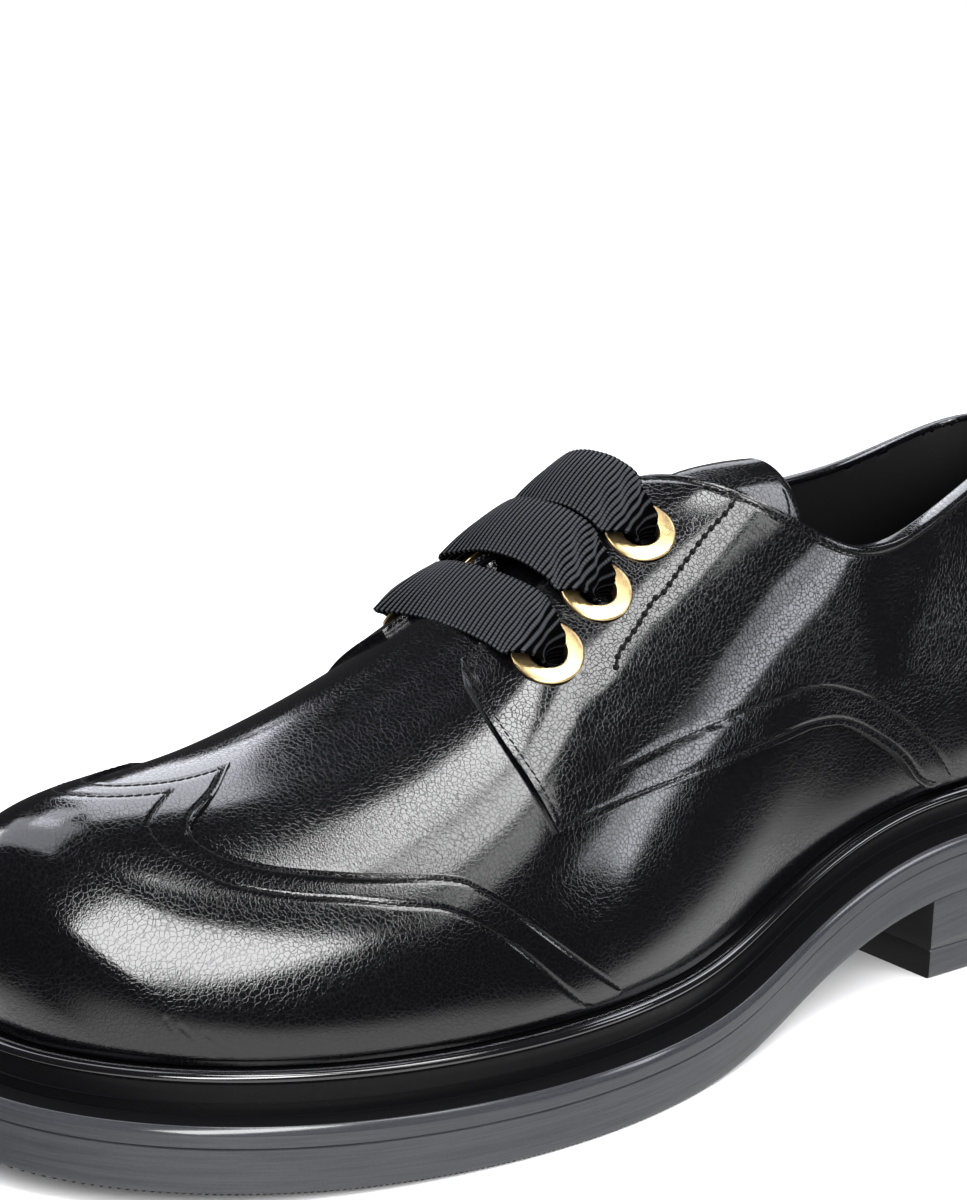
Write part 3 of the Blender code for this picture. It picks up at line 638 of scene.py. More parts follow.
def grid_piece(name, points):
    """A grid whose points are moved to the given places; its faces look along columns x rows."""
    rows, columns = points.shape[:2]
    choose()
    bpy.ops.mesh.primitive_grid_add(x_subdivisions=columns - 1, y_subdivisions=rows - 1, size=1.0)
    piece = bpy.context.object
    piece.name = name
    piece.data.name = name
    piece.data.vertices.foreach_set("co", to_frame(points).astype(np.float32).ravel())
    piece.data.update()
    return piece


def note(piece, name, values):
    """Keeps a number for each point, which a material reads."""
    attribute = piece.data.attributes.new(name, "FLOAT", "POINT")
    attribute.data.foreach_set("value", np.asarray(values, np.float32).ravel())


def weld(piece, recalculate=True, close=False):
    """Joins points that lie on each other, closes an open end and turns the faces outwards."""
    bpy.ops.object.mode_set(mode="EDIT")
    bpy.ops.mesh.select_all(action="SELECT")
    bpy.ops.mesh.remove_doubles(threshold=1e-6)
    if close:
        bpy.ops.mesh.select_all(action="DESELECT")
        bpy.ops.mesh.select_mode(type="EDGE")
        bpy.ops.mesh.select_non_manifold(
            extend=False, use_wire=False, use_boundary=True, use_multi_face=False,
            use_non_contiguous=False, use_verts=False,
        )
        bpy.ops.mesh.edge_face_add()
        bpy.ops.mesh.select_all(action="SELECT")
    if recalculate:
        bpy.ops.mesh.normals_make_consistent(inside=False)
    bpy.ops.object.mode_set(mode="OBJECT")


def thicken(piece, thick, edge_round=0.0, segments=2):
    """Gives a sheet its thickness inwards, and rounds its cut edges."""
    shell = piece.modifiers.new("thickness", "SOLIDIFY")
    shell.thickness = thick
    shell.offset = -1.0
    shell.use_even_offset = False
    bpy.ops.object.modifier_apply(modifier=shell.name)
    if edge_round > 0.0:
        bevel(piece, edge_round, segments)


def bevel(piece, width, segments):
    """Rounds the sharp edges of a piece."""
    rounding = piece.modifiers.new("edges", "BEVEL")
    rounding.width = width
    rounding.segments = segments
    rounding.limit_method = "ANGLE"
    rounding.angle_limit = ROUNDED_OVER
    bpy.ops.object.modifier_apply(modifier=rounding.name)


def dress(piece, finish, slot, *nodes):
    """Shades a piece, gives it its material, ties it to the shoe and hides the solids it stands for."""
    choose(piece)
    bpy.ops.object.shade_smooth_by_angle(angle=SHADED_UNDER)
    piece.data.materials.clear()
    piece.data.materials.append(finish)
    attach(piece, "root")
    if nodes:
        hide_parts(*nodes)
    return piece


def fill(tree, node, inputs):
    """Links or fills a node's inputs."""
    for key, value in inputs.items():
        if isinstance(value, bpy.types.NodeSocket):
            tree.links.new(value, node.inputs[key])
        else:
            node.inputs[key].default_value = value


def add_node(tree, kind, inputs=None, **settings):
    """Adds a node, with its settings, and links or fills its inputs."""
    node = tree.nodes.new(kind)
    for key, value in settings.items():
        setattr(node, key, value)
    fill(tree, node, inputs or {})
    return node


def colour(name):
    """A colour that the user chose."""
    return tuple(getattr(bpy.context.scene.shoe_colours, name))


def new_material(name, shader_inputs):
    """A material with its node tree and its Principled shader."""
    finish = bpy.data.materials.new(name)
    finish.use_nodes = True
    shader = finish.node_tree.nodes["Principled BSDF"]
    fill(finish.node_tree, shader, shader_inputs)
    return finish, finish.node_tree, shader


def toothed_material(name, shader_inputs, tooth_inputs, bump_inputs):
    """A material with a fine uneven tooth on its surface, and the tooth's pattern for further use."""
    finish, tree, shader = new_material(name, shader_inputs)
    place = add_node(tree, "ShaderNodeTexCoord").outputs["Object"]
    tooth = add_node(tree, "ShaderNodeTexNoise", {"Vector": place, **tooth_inputs}).outputs["Fac"]
    bump = add_node(tree, "ShaderNodeBump", {"Height": tooth, **bump_inputs})
    fill(tree, shader, {"Normal": bump.outputs[0]})
    return finish, tree, shader, tooth


def made_once(maker):
    """Lets operators share a material."""
    made = {}

    def give(*settings):
        if settings not in made:
            made[settings] = maker(*settings)
        return made[settings]

    return give


@made_once
def polished_leather(crack_depth, pore_depth):
    """Black box calf with a hard polish: a mirror broken up by fine pores and, where flexed, by cracks."""
    cell = bpy.context.scene.shoe_sizes.grain
    finish, tree, shader = new_material("polished cracked box calf", {"IOR": 1.5})
    place = add_node(tree, "ShaderNodeTexCoord").outputs["Object"]
    wander = add_node(tree, "ShaderNodeTexNoise", {"Vector": place, "Scale": 0.6 / cell, "Detail": 3.0})
    warped = add_node(
        tree, "ShaderNodeVectorMath",
        {0: wander.outputs["Color"], 1: (cell * 1.1,) * 3, 2: place}, operation="MULTIPLY_ADD",
    )
    plates = add_node(
        tree, "ShaderNodeTexVoronoi", {"Vector": warped.outputs[0], "Scale": 1.0 / cell},
        feature="DISTANCE_TO_EDGE",
    )
    crack = add_node(
        tree, "ShaderNodeMapRange",
        {"Value": plates.outputs["Distance"], "From Min": 0.0, "From Max": 0.085},
        interpolation_type="SMOOTHSTEP",
    ).outputs[0]
    # Pores 0.32 mm apart, and patches of deeper cracks about 15 mm wide
    pores = add_node(
        tree, "ShaderNodeTexNoise", {"Vector": place, "Scale": 1.0 / (0.32 * MM), "Detail": 1.0}
    )
    patches = add_node(tree, "ShaderNodeTexNoise", {"Vector": place, "Scale": 60.0, "Detail": 2.0})
    depth = add_node(
        tree, "ShaderNodeMapRange",
        {"Value": patches.outputs["Fac"], "From Min": 0.35, "From Max": 0.65,
         "To Min": 0.45 * crack_depth, "To Max": crack_depth},
    )
    cracked = add_node(tree, "ShaderNodeMath", {0: crack, 1: depth.outputs[0]}, operation="MULTIPLY")
    grain = add_node(
        tree, "ShaderNodeMath", {0: pores.outputs["Fac"], 1: pore_depth, 2: cracked.outputs[0]},
        operation="MULTIPLY_ADD",
    )
    bump = add_node(
        tree, "ShaderNodeBump", {"Height": grain.outputs[0], "Strength": 1.0, "Distance": 0.06 * MM}
    )
    # The walls of the cracks take less polish, and show the rubbed finish
    rough = add_node(tree, "ShaderNodeMapRange", {"Value": crack, "To Min": 0.17, "To Max": 0.085})
    shine = add_node(
        tree, "ShaderNodeMapRange", {"Value": crack, "To Min": 0.5 - 0.9 * crack_depth, "To Max": 0.5}
    )
    tint = add_node(
        tree, "ShaderNodeMix", {"Factor": crack, "A": colour("leather_worn"), "B": colour("leather")},
        data_type="RGBA",
    )
    fill(tree, shader, {
        "Base Color": tint.outputs["Result"], "Roughness": rough.outputs[0],
        "Specular IOR Level": shine.outputs[0], "Normal": bump.outputs[0],
    })
    return finish


@made_once
def lining_leather():
    """Dyed lining calf, unpolished: an even low sheen with fine pores."""
    finish, tree, shader, _ = toothed_material(
        "dyed lining calf", {"Roughness": 0.7, "IOR": 1.28},
        {"Scale": 1800.0, "Detail": 3.0}, {"Strength": 0.4, "Distance": 0.08 * MM},
    )
    place = add_node(tree, "ShaderNodeTexCoord").outputs["Object"]
    clouds = add_node(tree, "ShaderNodeTexNoise", {"Vector": place, "Scale": 70.0, "Detail": 3.0})
    tint = add_node(
        tree, "ShaderNodeMix",
        {"Factor": clouds.outputs["Fac"], "A": colour("leather"), "B": colour("lining")},
        data_type="RGBA",
    )
    fill(tree, shader, {"Base Color": tint.outputs["Result"]})
    return finish


@made_once
def glossy_rand():
    """Moulded rubber with a lacquer: mirror black with the least unevenness."""
    finish, tree, shader, wave = toothed_material(
        "lacquered moulded rubber",
        {"Base Color": colour("rand"), "Coat Weight": 0.6, "Coat Roughness": 0.04, "IOR": 1.5},
        {"Scale": 140.0, "Detail": 2.0}, {"Strength": 0.12, "Distance": 0.2 * MM},
    )
    haze = add_node(tree, "ShaderNodeMapRange", {"Value": wave, "To Min": 0.07, "To Max": 0.16})
    fill(tree, shader, {"Roughness": haze.outputs[0]})
    return finish


@made_once
def dull_rand():
    """The same rubber under the bead, unlacquered: near black, with a faint blurred shine."""
    finish, tree, shader = new_material("matt moulded rubber", {"Base Color": colour("rand"), "IOR": 1.2})
    place = add_node(tree, "ShaderNodeTexCoord").outputs["Object"]
    tooth = add_node(tree, "ShaderNodeTexNoise", {"Vector": place, "Scale": 900.0, "Detail": 2.0})
    haze = add_node(
        tree, "ShaderNodeMapRange", {"Value": tooth.outputs["Fac"], "To Min": 0.22, "To Max": 0.4}
    )
    fill(tree, shader, {"Roughness": haze.outputs[0]})
    return finish


@made_once
def brushed_sole():
    """Sole edge sanded lengthwise and waxed grey: long fine streaks, matt, paler along its arrises."""
    finish, tree, shader = new_material("sanded waxed sole edge", {"IOR": 1.48})
    along = add_node(tree, "ShaderNodeAttribute", attribute_name="along").outputs["Fac"]
    up = add_node(tree, "ShaderNodeAttribute", attribute_name="up").outputs["Fac"]
    place = add_node(tree, "ShaderNodeCombineXYZ", {"X": along, "Y": up}).outputs[0]
    # Streaks about 12 mm long and 0.3 mm high, and broader bands
    streaks, bands = (
        add_node(tree, "ShaderNodeTexNoise", {
            "Vector": add_node(tree, "ShaderNodeMapping", {"Vector": place, "Scale": scale}).outputs[0],
            "Scale": 1.0, "Detail": detail,
        }).outputs["Fac"]
        for scale, detail in (((80.0, 3300.0, 1.0), 5.0), ((25.0, 900.0, 1.0), 3.0))
    )
    lines = add_node(tree, "ShaderNodeMath", {0: streaks, 1: bands}, operation="ADD")
    # Grit of the sanding belt, 0.4 mm wide
    spot = add_node(tree, "ShaderNodeTexCoord").outputs["Object"]
    grit = add_node(
        tree, "ShaderNodeTexNoise", {"Vector": spot, "Scale": 1.0 / (0.4 * MM), "Detail": 2.0}
    )
    both = add_node(
        tree, "ShaderNodeMath", {0: grit.outputs["Fac"], 1: 0.5, 2: lines.outputs[0]},
        operation="MULTIPLY_ADD",
    ).outputs[0]
    share = add_node(tree, "ShaderNodeMapRange", {"Value": both, "From Min": 1.02, "From Max": 1.46})
    streaked = add_node(
        tree, "ShaderNodeMix",
        {"Factor": share.outputs[0], "A": colour("sole_streak"), "B": colour("sole")}, data_type="RGBA",
    )
    # The ledge on top is inked black and matt, and the round arris under it is burnished, not sanded.
    # Each value changes between two depths under the ledge, in millimetres.
    ledge, burnish, sanded = (
        add_node(tree, "ShaderNodeMapRange", {
            "Value": up, "From Min": (OUTSOLE_THICK - low) * MM, "From Max": (OUTSOLE_THICK - high) * MM,
            "To Min": below, "To Max": above,
        }).outputs[0]
        for low, high, below, above in (
            (0.10, 0.02, 0.0, 1.0), (1.7, 1.3, 0.5, 0.15), (1.8, 1.4, 0.45, 0.0),
        )
    )
    tint = add_node(
        tree, "ShaderNodeMix",
        {"Factor": ledge, "A": streaked.outputs["Result"], "B": colour("rand")}, data_type="RGBA",
    )
    rough = add_node(tree, "ShaderNodeMapRange", {"Value": ledge, "To Min": burnish, "To Max": 0.65})
    gloss = add_node(tree, "ShaderNodeMapRange", {"Value": ledge, "To Min": 0.5, "To Max": 0.04})
    bump = add_node(tree, "ShaderNodeBump", {"Height": both, "Strength": sanded, "Distance": 0.12 * MM})
    fill(tree, shader, {
        "Base Color": tint.outputs["Result"], "Roughness": rough.outputs[0],
        "Specular IOR Level": gloss.outputs[0], "Normal": bump.outputs[0],
    })
    return finish


@made_once
def tread_rubber():
    """Vulcanised rubber, matt, with a fine even tooth."""
    finish, tree, shader, tooth = toothed_material(
        "vulcanised sole rubber", {"Roughness": 0.75, "IOR": 1.35},
        {"Scale": 1500.0, "Detail": 2.0}, {"Strength": 0.4, "Distance": 0.1 * MM},
    )
    tint = add_node(
        tree, "ShaderNodeMix", {"Factor": tooth, "A": colour("leather"), "B": colour("tread")},
        data_type="RGBA",
    )
    fill(tree, shader, {"Base Color": tint.outputs["Result"]})
    return finish


@made_once
def pale_brass():
    """Stamped brass with a pale gilt wash: satin on its flat, with faint turned marks."""
    finish, tree, shader, marks = toothed_material(
        "stamped gilt brass", {"Base Color": colour("brass"), "Metallic": 1.0},
        {"Scale": 900.0, "Detail": 4.0}, {"Strength": 0.12, "Distance": 0.06 * MM},
    )
    haze = add_node(tree, "ShaderNodeMapRange", {"Value": marks, "To Min": 0.24, "To Max": 0.42})
    fill(tree, shader, {"Roughness": haze.outputs[0]})
    return finish


@made_once
def grosgrain():
    """Woven rayon ribbon: round crosswise ribs covered by fine lengthwise threads with a soft sheen, with
    painted highlight on the crests and thread tops and painted shade in the gaps.
    """
    finish, tree, shader = new_material("rayon grosgrain", {"Roughness": 0.45, "IOR": 1.4})
    rib = add_node(tree, "ShaderNodeAttribute", attribute_name="rib").outputs["Fac"]
    across = add_node(tree, "ShaderNodeAttribute", attribute_name="across").outputs["Fac"]
    # Threads 0.22 mm apart, drawn 0.7 mm apart so that they show
    threads = add_node(
        tree, "ShaderNodeMath", {0: across, 1: 2.0 * math.pi / (0.7 * MM)}, operation="MULTIPLY"
    )
    wave = add_node(tree, "ShaderNodeMath", {0: threads.outputs[0]}, operation="SINE").outputs[0]
    bump = add_node(tree, "ShaderNodeBump", {"Height": wave, "Strength": 0.35, "Distance": 0.03 * MM})
    # Painted highlight and shade: crests and thread tops are coloured paler, gaps black, and the gaps also
    # lose their specular shine
    crest = add_node(
        tree, "ShaderNodeMapRange", {"Value": rib, "From Min": 0.4, "From Max": 1.0},
        interpolation_type="SMOOTHSTEP",
    )
    painted_thread_light = add_node(tree, "ShaderNodeMapRange", {"Value": wave, "From Min": -1.0, "To Min": 0.5})
    painted_rib_light = add_node(
        tree, "ShaderNodeMath", {0: crest.outputs[0], 1: painted_thread_light.outputs[0]}, operation="MULTIPLY"
    ).outputs[0]
    tint = add_node(
        tree, "ShaderNodeMix", {"Factor": painted_rib_light, "A": colour("ribbon_gap_painted_shade"), "B": colour("ribbon")},
        data_type="RGBA",
    )
    sheen = add_node(tree, "ShaderNodeMapRange", {"Value": painted_rib_light, "To Min": 0.0, "To Max": 0.1})
    fill(tree, shader, {
        "Base Color": tint.outputs["Result"], "Specular IOR Level": sheen.outputs[0],
        "Normal": bump.outputs[0],
    })
    return finish


@made_once
def waxed_thread():
    """Waxed polyester thread: twisted, with a dull shine."""
    return toothed_material(
        "waxed polyester thread", {"Base Color": colour("thread"), "Roughness": 0.8, "IOR": 1.3},
        {"Scale": 6000.0, "Detail": 1.0}, {"Strength": 0.5, "Distance": 0.05 * MM},
    )[0]


@made_once
def floor_paper():
    """Seamless background paper: even, matt and near white."""
    return toothed_material(
        "seamless paper", {"Base Color": colour("floor"), "Roughness": 0.9, "IOR": 1.3},
        {"Scale": 400.0, "Detail": 2.0}, {"Strength": 0.05, "Distance": 0.1 * MM},
    )[0]


def leather_lift(points, rows=(), groove=0.0):
    """Lift of a leather face over its own thickness: ripples, creases and pulled-in stitch rows."""
    lift = ripples(points) - creases(points) - pits(points)
    for row in rows:
        off = distance_to(points, row[:, :3])
        lift = lift - groove * np.exp(-((off / GROOVE_HALF) ** 2))
    return lift


def wing_edge(count):
    """The wing's edge from its lateral end over the toe to its medial end."""
    half = count // 2 + 1
    return np.concatenate([hermite(WING_LATERAL, half), hermite(WING_MEDIAL, half)[1:]])


def wing_rows(sizes):
    """The wing's two rows of stitches, one near its edge and one further in."""
    edge = placed(wing_edge(1200)[:, 1:])
    return [inset(edge, sizes.wing_row / MM, -1.0), on_skin(WING_ROW_LATERAL), on_skin(WING_ROW_MEDIAL)]


def quarter_rows(sizes):
    """The lateral quarter's rows of stitches: along seam, front edge and top, and further in."""
    stations = np.linspace(QUARTER_FRONT[-1][0], 0.0, 500)
    top = np.column_stack([stations, monotone_curve(*zip(*FACING_EDGE))(stations)])
    edges = [placed(run) for run in (hermite(QUARTER_SEAM[1:], 500), hermite(QUARTER_FRONT, 160), top)]
    whole = np.concatenate(edges)[:, :3]
    distance = sizes.edge_row / MM
    rows = [inset(edge, distance, 1.0) for edge in edges]
    rows = [row[distance_to(row[:, :3], whole) > 0.94 * distance] for row in rows]
    return rows + [on_skin(QUARTER_ROW)]


def mirrored(row):
    """A row of stitches on the other side of the shoe."""
    return placed(np.column_stack([RING - row[:, 3], row[:, 4]]))


class SHOE_OT_upper(bpy.types.Operator):
    """Make the vamp's leather wall, closed over the toe and open at throat, collar and foot"""

    bl_idname = "shoe.upper"
    bl_label = "Upper"
    around: IntProperty(name="Around", description="Divisions round the shoe", default=400)
    levels: IntProperty(name="Levels", description="Divisions up the wall", default=56)

    def execute(self, context):
        sizes = context.scene.shoe_sizes
        stations = np.arange(self.around + 1) * RING / self.around
        side = np.minimum(stations, RING - stations)
        heights = throat_edge(side)[:, None] * np.linspace(0.0, 1.0, self.levels + 1)[None, :]
        base = last_point(stations[:, None], heights)
        outer = skin(stations[:, None], heights, leather_lift(base))
        closed = side > THROAT_END - 1e-6
        for i in np.flatnonzero(closed & (stations <= TOE)):
            j = self.around - i
            outer[i, -1] = outer[j, -1] = 0.5 * (outer[i, -1] + outer[j, -1])
        outer[-1] = outer[0]
        piece = grid_piece("vamp_wall", outer)
        weld(piece, recalculate=False)
        thicken(piece, sizes.wall)
        dress(piece, polished_leather(*PEBBLED), "upper_leather", "upper")
        return {"FINISHED"}


class SHOE_OT_quarters(bpy.types.Operator):
    """Make the two quarters, which meet at the back and carry the facings"""

    bl_idname = "shoe.quarters"
    bl_label = "Quarters"
    along: IntProperty(name="Along", description="Divisions from heel to front edge", default=240)
    upward: IntProperty(name="Upward", description="Divisions from seam to top", default=84)

    def execute(self, context):
        sizes = context.scene.shoe_sizes
        seam = monotone_curve(*zip(*QUARTER_SEAM))
        top = monotone_curve(*zip(*FACING_EDGE))
        front_stations, front_heights = zip(*QUARTER_FRONT)
        front = monotone_curve(front_heights, front_stations)
        along = np.linspace(0.0, 1.0, self.along + 1)[:, None]
        upward = np.linspace(0.0, 1.0, self.upward + 1)[None, :]
        low, high = front_heights[0], front_heights[-1]
        stations = np.maximum(along * front(low + (high - low) * upward), BACK_SEAM)
        foot = seam(along * front_stations[0])
        heights = foot + (top(along * front_stations[-1]) - foot) * upward
        rows = quarter_rows(sizes)
        for name, node, flip in (
            ("lateral_quarter", "quarter_lateral", False), ("medial_quarter", "quarter_medial", True),
        ):
            places = RING - stations if flip else stations
            base = last_point(places, heights)
            sewn = [mirrored(row) for row in rows] if flip else rows
            lift = sizes.quarter / MM + leather_lift(base, sewn, sizes.groove / MM)
            outer = skin(places, heights, lift)
            piece = grid_piece(name, outer[::-1] if flip else outer)
            thicken(piece, sizes.quarter, QUARTER_ROUND * MM, 3)
            dress(piece, polished_leather(*CRACKED), "upper_leather", node)
        return {"FINISHED"}


class SHOE_OT_wing(bpy.types.Operator):
    """Make the wing cap over the toe"""

    bl_idname = "shoe.wing"
    bl_label = "Wing cap"
    along: IntProperty(name="Along", description="Divisions along the wing's edge", default=420)
    upward: IntProperty(name="Upward", description="Divisions from rand to edge", default=84)

    def execute(self, context):
        sizes = context.scene.shoe_sizes
        edge = wing_edge(self.along)
        upward = np.linspace(0.0, 1.0, self.upward + 1)[None, :]
        stations = edge[:, :1] + (edge[:, 1:2] - edge[:, :1]) * upward
        heights = OVERLAY_FOOT + (edge[:, 2:] - OVERLAY_FOOT) * upward
        base = last_point(stations, heights)
        lift = sizes.wing / MM + leather_lift(base, wing_rows(sizes), sizes.groove / MM)
        piece = grid_piece("wing_toe_cap", skin(stations, heights, lift))
        thicken(piece, sizes.wing, WING_ROUND * MM, 3)
        dress(piece, polished_leather(*PEBBLED), "upper_leather", "wing_cap")
        return {"FINISHED"}


def tongue_face(steps, columns):
    """Points of the tongue's outer face, from vamp to free end and from medial to lateral edge."""
    rows = hermite(TONGUE, steps)
    across = np.linspace(-1.0, 1.0, columns)[None, :]
    fall = np.where(across > 0.0, rows[:, 3:4], rows[:, 4:5]) * across**2
    return np.stack([rows[:, :1] + 0.0 * across, rows[:, 2:3] * across, rows[:, 1:2] - fall], axis=-1)


def tongue_row(inside):
    """The tongue's row of stitches round its free end, as places and normals."""
    steps, columns = 241, 121
    start = steps // 2
    face = tongue_face(steps, columns)
    turn = unit(np.cross(np.gradient(face, axis=1), np.gradient(face, axis=0)))
    turn *= np.sign(turn[..., 2:])
    edge = np.concatenate([face[start:, -1], face[-1, ::-1], face[:start - 1:-1, 0]])
    off = distance_to(face, edge)
    rows = []
    for k in range(start, steps):
        near = np.flatnonzero(off[k] > inside)
        if len(near):
            rows.append((k, near[0], near[-1]))
    path = [(k, last) for k, first, last in rows]
    path += [(rows[-1][0], j) for j in range(rows[-1][2] - 1, rows[-1][1], -1)]
    path += [(k, first) for k, first, last in reversed(rows)]
    k, j = np.array(path).T
    line = np.concatenate([face[k, j], turn[k, j]], axis=1)
    return resampled(line, 0.8)


class SHOE_OT_tongue(bpy.types.Operator):
    """Make the tongue under the facings"""

    bl_idname = "shoe.tongue"
    bl_label = "Tongue"

    def execute(self, context):
        sizes = context.scene.shoe_sizes
        piece = grid_piece("tongue_flap", tongue_face(120, 61))
        thicken(piece, sizes.tongue, TONGUE_ROUND * MM, 3)
        dress(piece, polished_leather(*CRACKED), "upper_leather", "tongue")
        return {"FINISHED"}


class SHOE_OT_collar(bpy.types.Operator):
    """Make the lining inside the collar and the rolled edge over its top"""

    bl_idname = "shoe.collar"
    bl_label = "Collar"

    def execute(self, context):
        sizes = context.scene.shoe_sizes
        inside = -sizes.wall / MM - LINING_GAP
        self.lining(sizes, inside)
        self.topline(sizes.quarter / MM, inside - sizes.lining / MM - TOPLINE_OVERHANG)
        return {"FINISHED"}

    def lining(self, sizes, inside):
        """The sheet inside the collar and the facings, punched at the eyelets."""
        stations = np.linspace(-LINING_END, LINING_END, 260)
        heights = throat_edge(np.abs(stations))[:, None] * np.linspace(0.0, LINING_TOP, 40)[None, :]
        around = stations[:, None] % RING
        punched = inside - pits(last_point(around, heights))
        piece = grid_piece("collar_lining", skin(around, heights, punched))
        thicken(piece, sizes.lining, LINING_ROUND * MM, 2)
        dress(piece, lining_leather(), "lining")

    def topline(self, outside, inside):
        """The rolled edge, with a squarish section from the quarter's face to the lining's."""
        run = np.linspace(-TOPLINE_END, TOPLINE_END, 420)
        angles = np.linspace(0.0, 2.0 * np.pi, 17)
        wide, tall = (np.sign(wave) * np.sqrt(np.abs(wave)) for wave in (np.cos(angles), np.sin(angles)))
        middle, half = 0.5 * (outside + inside), 0.5 * (outside - inside)
        top = last_point(run % RING, 1.0)
        normal = last_normal(run % RING, 1.0)
        rise = unit(top - last_point(run % RING, 0.97))
        taper = smooth_step(0.0, TOPLINE_TAPER, FACING_EDGE[1][0] - np.abs(run))[:, None, None]
        out = (middle + half * wide)[None, :, None] * normal[:, None, :]
        up = (TOPLINE_HALF * tall - TOPLINE_DROP)[None, :, None] * rise[:, None, :] * taper
        piece = grid_piece("topline_edge", top[:, None, :] + out + up)
        weld(piece, close=True)
        dress(piece, polished_leather(*CRACKED), "upper_leather")


def thread_stitch(length, width):
    """Points and faces of one stitch along X, modelled once: a drawn-out ball flattened on the leather."""
    choose()
    bpy.ops.mesh.primitive_uv_sphere_add(segments=8, ring_count=6, radius=1.0, rotation=(0, math.pi / 2, 0))
    ball = bpy.context.object
    bpy.ops.object.transform_apply(location=False, rotation=True, scale=False)
    points = np.array([v.co for v in ball.data.vertices])
    faces = [list(p.vertices) for p in ball.data.polygons]
    bpy.data.objects.remove(ball)
    points[:, 2] = 0.8 * points[:, 2] - 0.7 * points[:, 0] ** 4
    points[:, 0] = np.sign(points[:, 0]) * np.abs(points[:, 0]) ** 0.7
    return points * 0.5 * np.array([length, width, width]) / MM, faces


def sew(name, rows, lift, pitch, length, width, first=0.5):
    """One joined mesh of stitches along rows of a place with its station and height, or with its normal."""
    points, faces = thread_stitch(length, width)
    every, shapes = [], []
    for row in rows:
        marks = resampled(row, pitch / MM, first)
        normal = marks[:, 3:] if marks.shape[1] > 5 else last_normal(marks[:, 3], marks[:, 4])
        along = np.gradient(marks[:, :3], axis=0)
        along = unit(along - (along * normal).sum(axis=1, keepdims=True) * normal)
        across = np.cross(normal, along)
        turned = math.cos(STITCH_SLANT) * along + math.sin(STITCH_SLANT) * across
        side = np.cross(normal, turned)
        centre = marks[:, :3] + lift * normal
        for k in range(len(marks)):
            start = len(every) * len(points)
            every.append(centre[k] + points @ np.stack([turned[k], side[k], normal[k]]))
            shapes += [[start + i for i in face] for face in faces]
    dress(mesh_piece(name, np.concatenate(every), shapes), waxed_thread(), "upper_leather")


class SHOE_OT_stitches(bpy.types.Operator):
    """Sew the wing, the tongue, the quarters and the facings"""

    bl_idname = "shoe.stitches"
    bl_label = "Stitches"

    def execute(self, context):
        sizes = context.scene.shoe_sizes
        thread = (sizes.stitch_pitch, sizes.stitch_length, sizes.thread)
        heavy = (sizes.facing_pitch, 0.8 * sizes.facing_pitch, sizes.facing_thread)
        knot = (sizes.facing_pitch, 2.2 * sizes.facing_thread, 2.2 * sizes.facing_thread)
        sunk = -0.6 * sizes.groove / MM
        sew("wing_stitches", wing_rows(sizes), sizes.wing / MM + sunk, *thread)
        sew("tongue_stitches", [tongue_row(TONGUE_ROW)], 0.1, *thread)
        lift = sizes.quarter / MM
        for side, turn in (("lateral", list), ("medial", lambda rows: [mirrored(row) for row in rows])):
            sew(f"{side}_quarter_stitches", turn(quarter_rows(sizes)), lift + sunk, *thread)
            facing = turn([on_skin(FACING_ROW)])
            sew(f"{side}_facing_stitches", facing, lift + 0.2, *heavy)
            sew(f"{side}_facing_knots", facing, lift + 0.25, *knot, first=1.0)
        return {"FINISHED"}


def closed_section(up, down, across, height=None):
    """Columns round a section of the sole: up one side, over, down the other side and under.

    Over and under, the columns run straight across, or keep their distance from a height along the sole.
    """
    columns = list(up)
    for start, end, after in ((up[-1], down[0], down), (down[-1], up[0], up[:1])):
        for f in np.arange(1, across) / across:
            point = (1.0 - f) * start + f * end
            if height:
                point[:, 2] = height(point[:, 0]) + (start[:, 2] - height(start[:, 0]))
            columns.append(point)
        columns += after
    return np.stack(columns, axis=1)


def sole_columns(profile, height, lateral, medial, across):
    """A section of (reach, rise) over a height along the sole, as columns round it."""
    sides = []
    for stations in (lateral, medial):
        outlines = [(sole_outline(reach, stations), rise) for reach, rise in profile]
        sides.append([np.column_stack([line, height(line[:, 0]) + rise]) for line, rise in outlines])
    return closed_section(sides[0], sides[1][::-1], across, height)


def sole_notes(piece, points, height):
    """Marks each point with its way along the sole and its height over the sole's line, in metres."""
    steps = np.linalg.norm(np.diff(points[:, 0], axis=0), axis=1)
    along = np.concatenate([[0.0], np.cumsum(steps)])[:, None]
    note(piece, "along", np.broadcast_to(along * MM, points.shape[:2]))
    note(piece, "up", (points[..., 2] - height(points[..., 0])) * MM)


def sole_piece(name, profile, height, rows=240, across=10):
    """A plate of the sole from heel to toe."""
    sides = np.linspace(0.0, TOE, rows)
    points = sole_columns(profile, height, sides, RING - sides, across)
    piece = grid_piece(name, points)
    sole_notes(piece, points, height)
    weld(piece)
    return piece


def second_finish(piece, finish, chosen):
    """Gives some faces another material, chosen by their middles on the last and their normals."""
    piece.data.materials.append(finish)
    faces = piece.data.polygons
    places = np.array([face.center for face in faces]) / MM + CENTRE
    turns = np.array([face.normal for face in faces])
    faces.foreach_set("material_index", chosen(places, turns).astype(np.int32))


def arc(centre, radius, start, end, count):
    """Points of a round stretch of a profile, angles in degrees."""
    angles = np.radians(np.linspace(start, end, count))
    return [(centre[0] + radius * np.cos(a), centre[1] + radius * np.sin(a)) for a in angles]


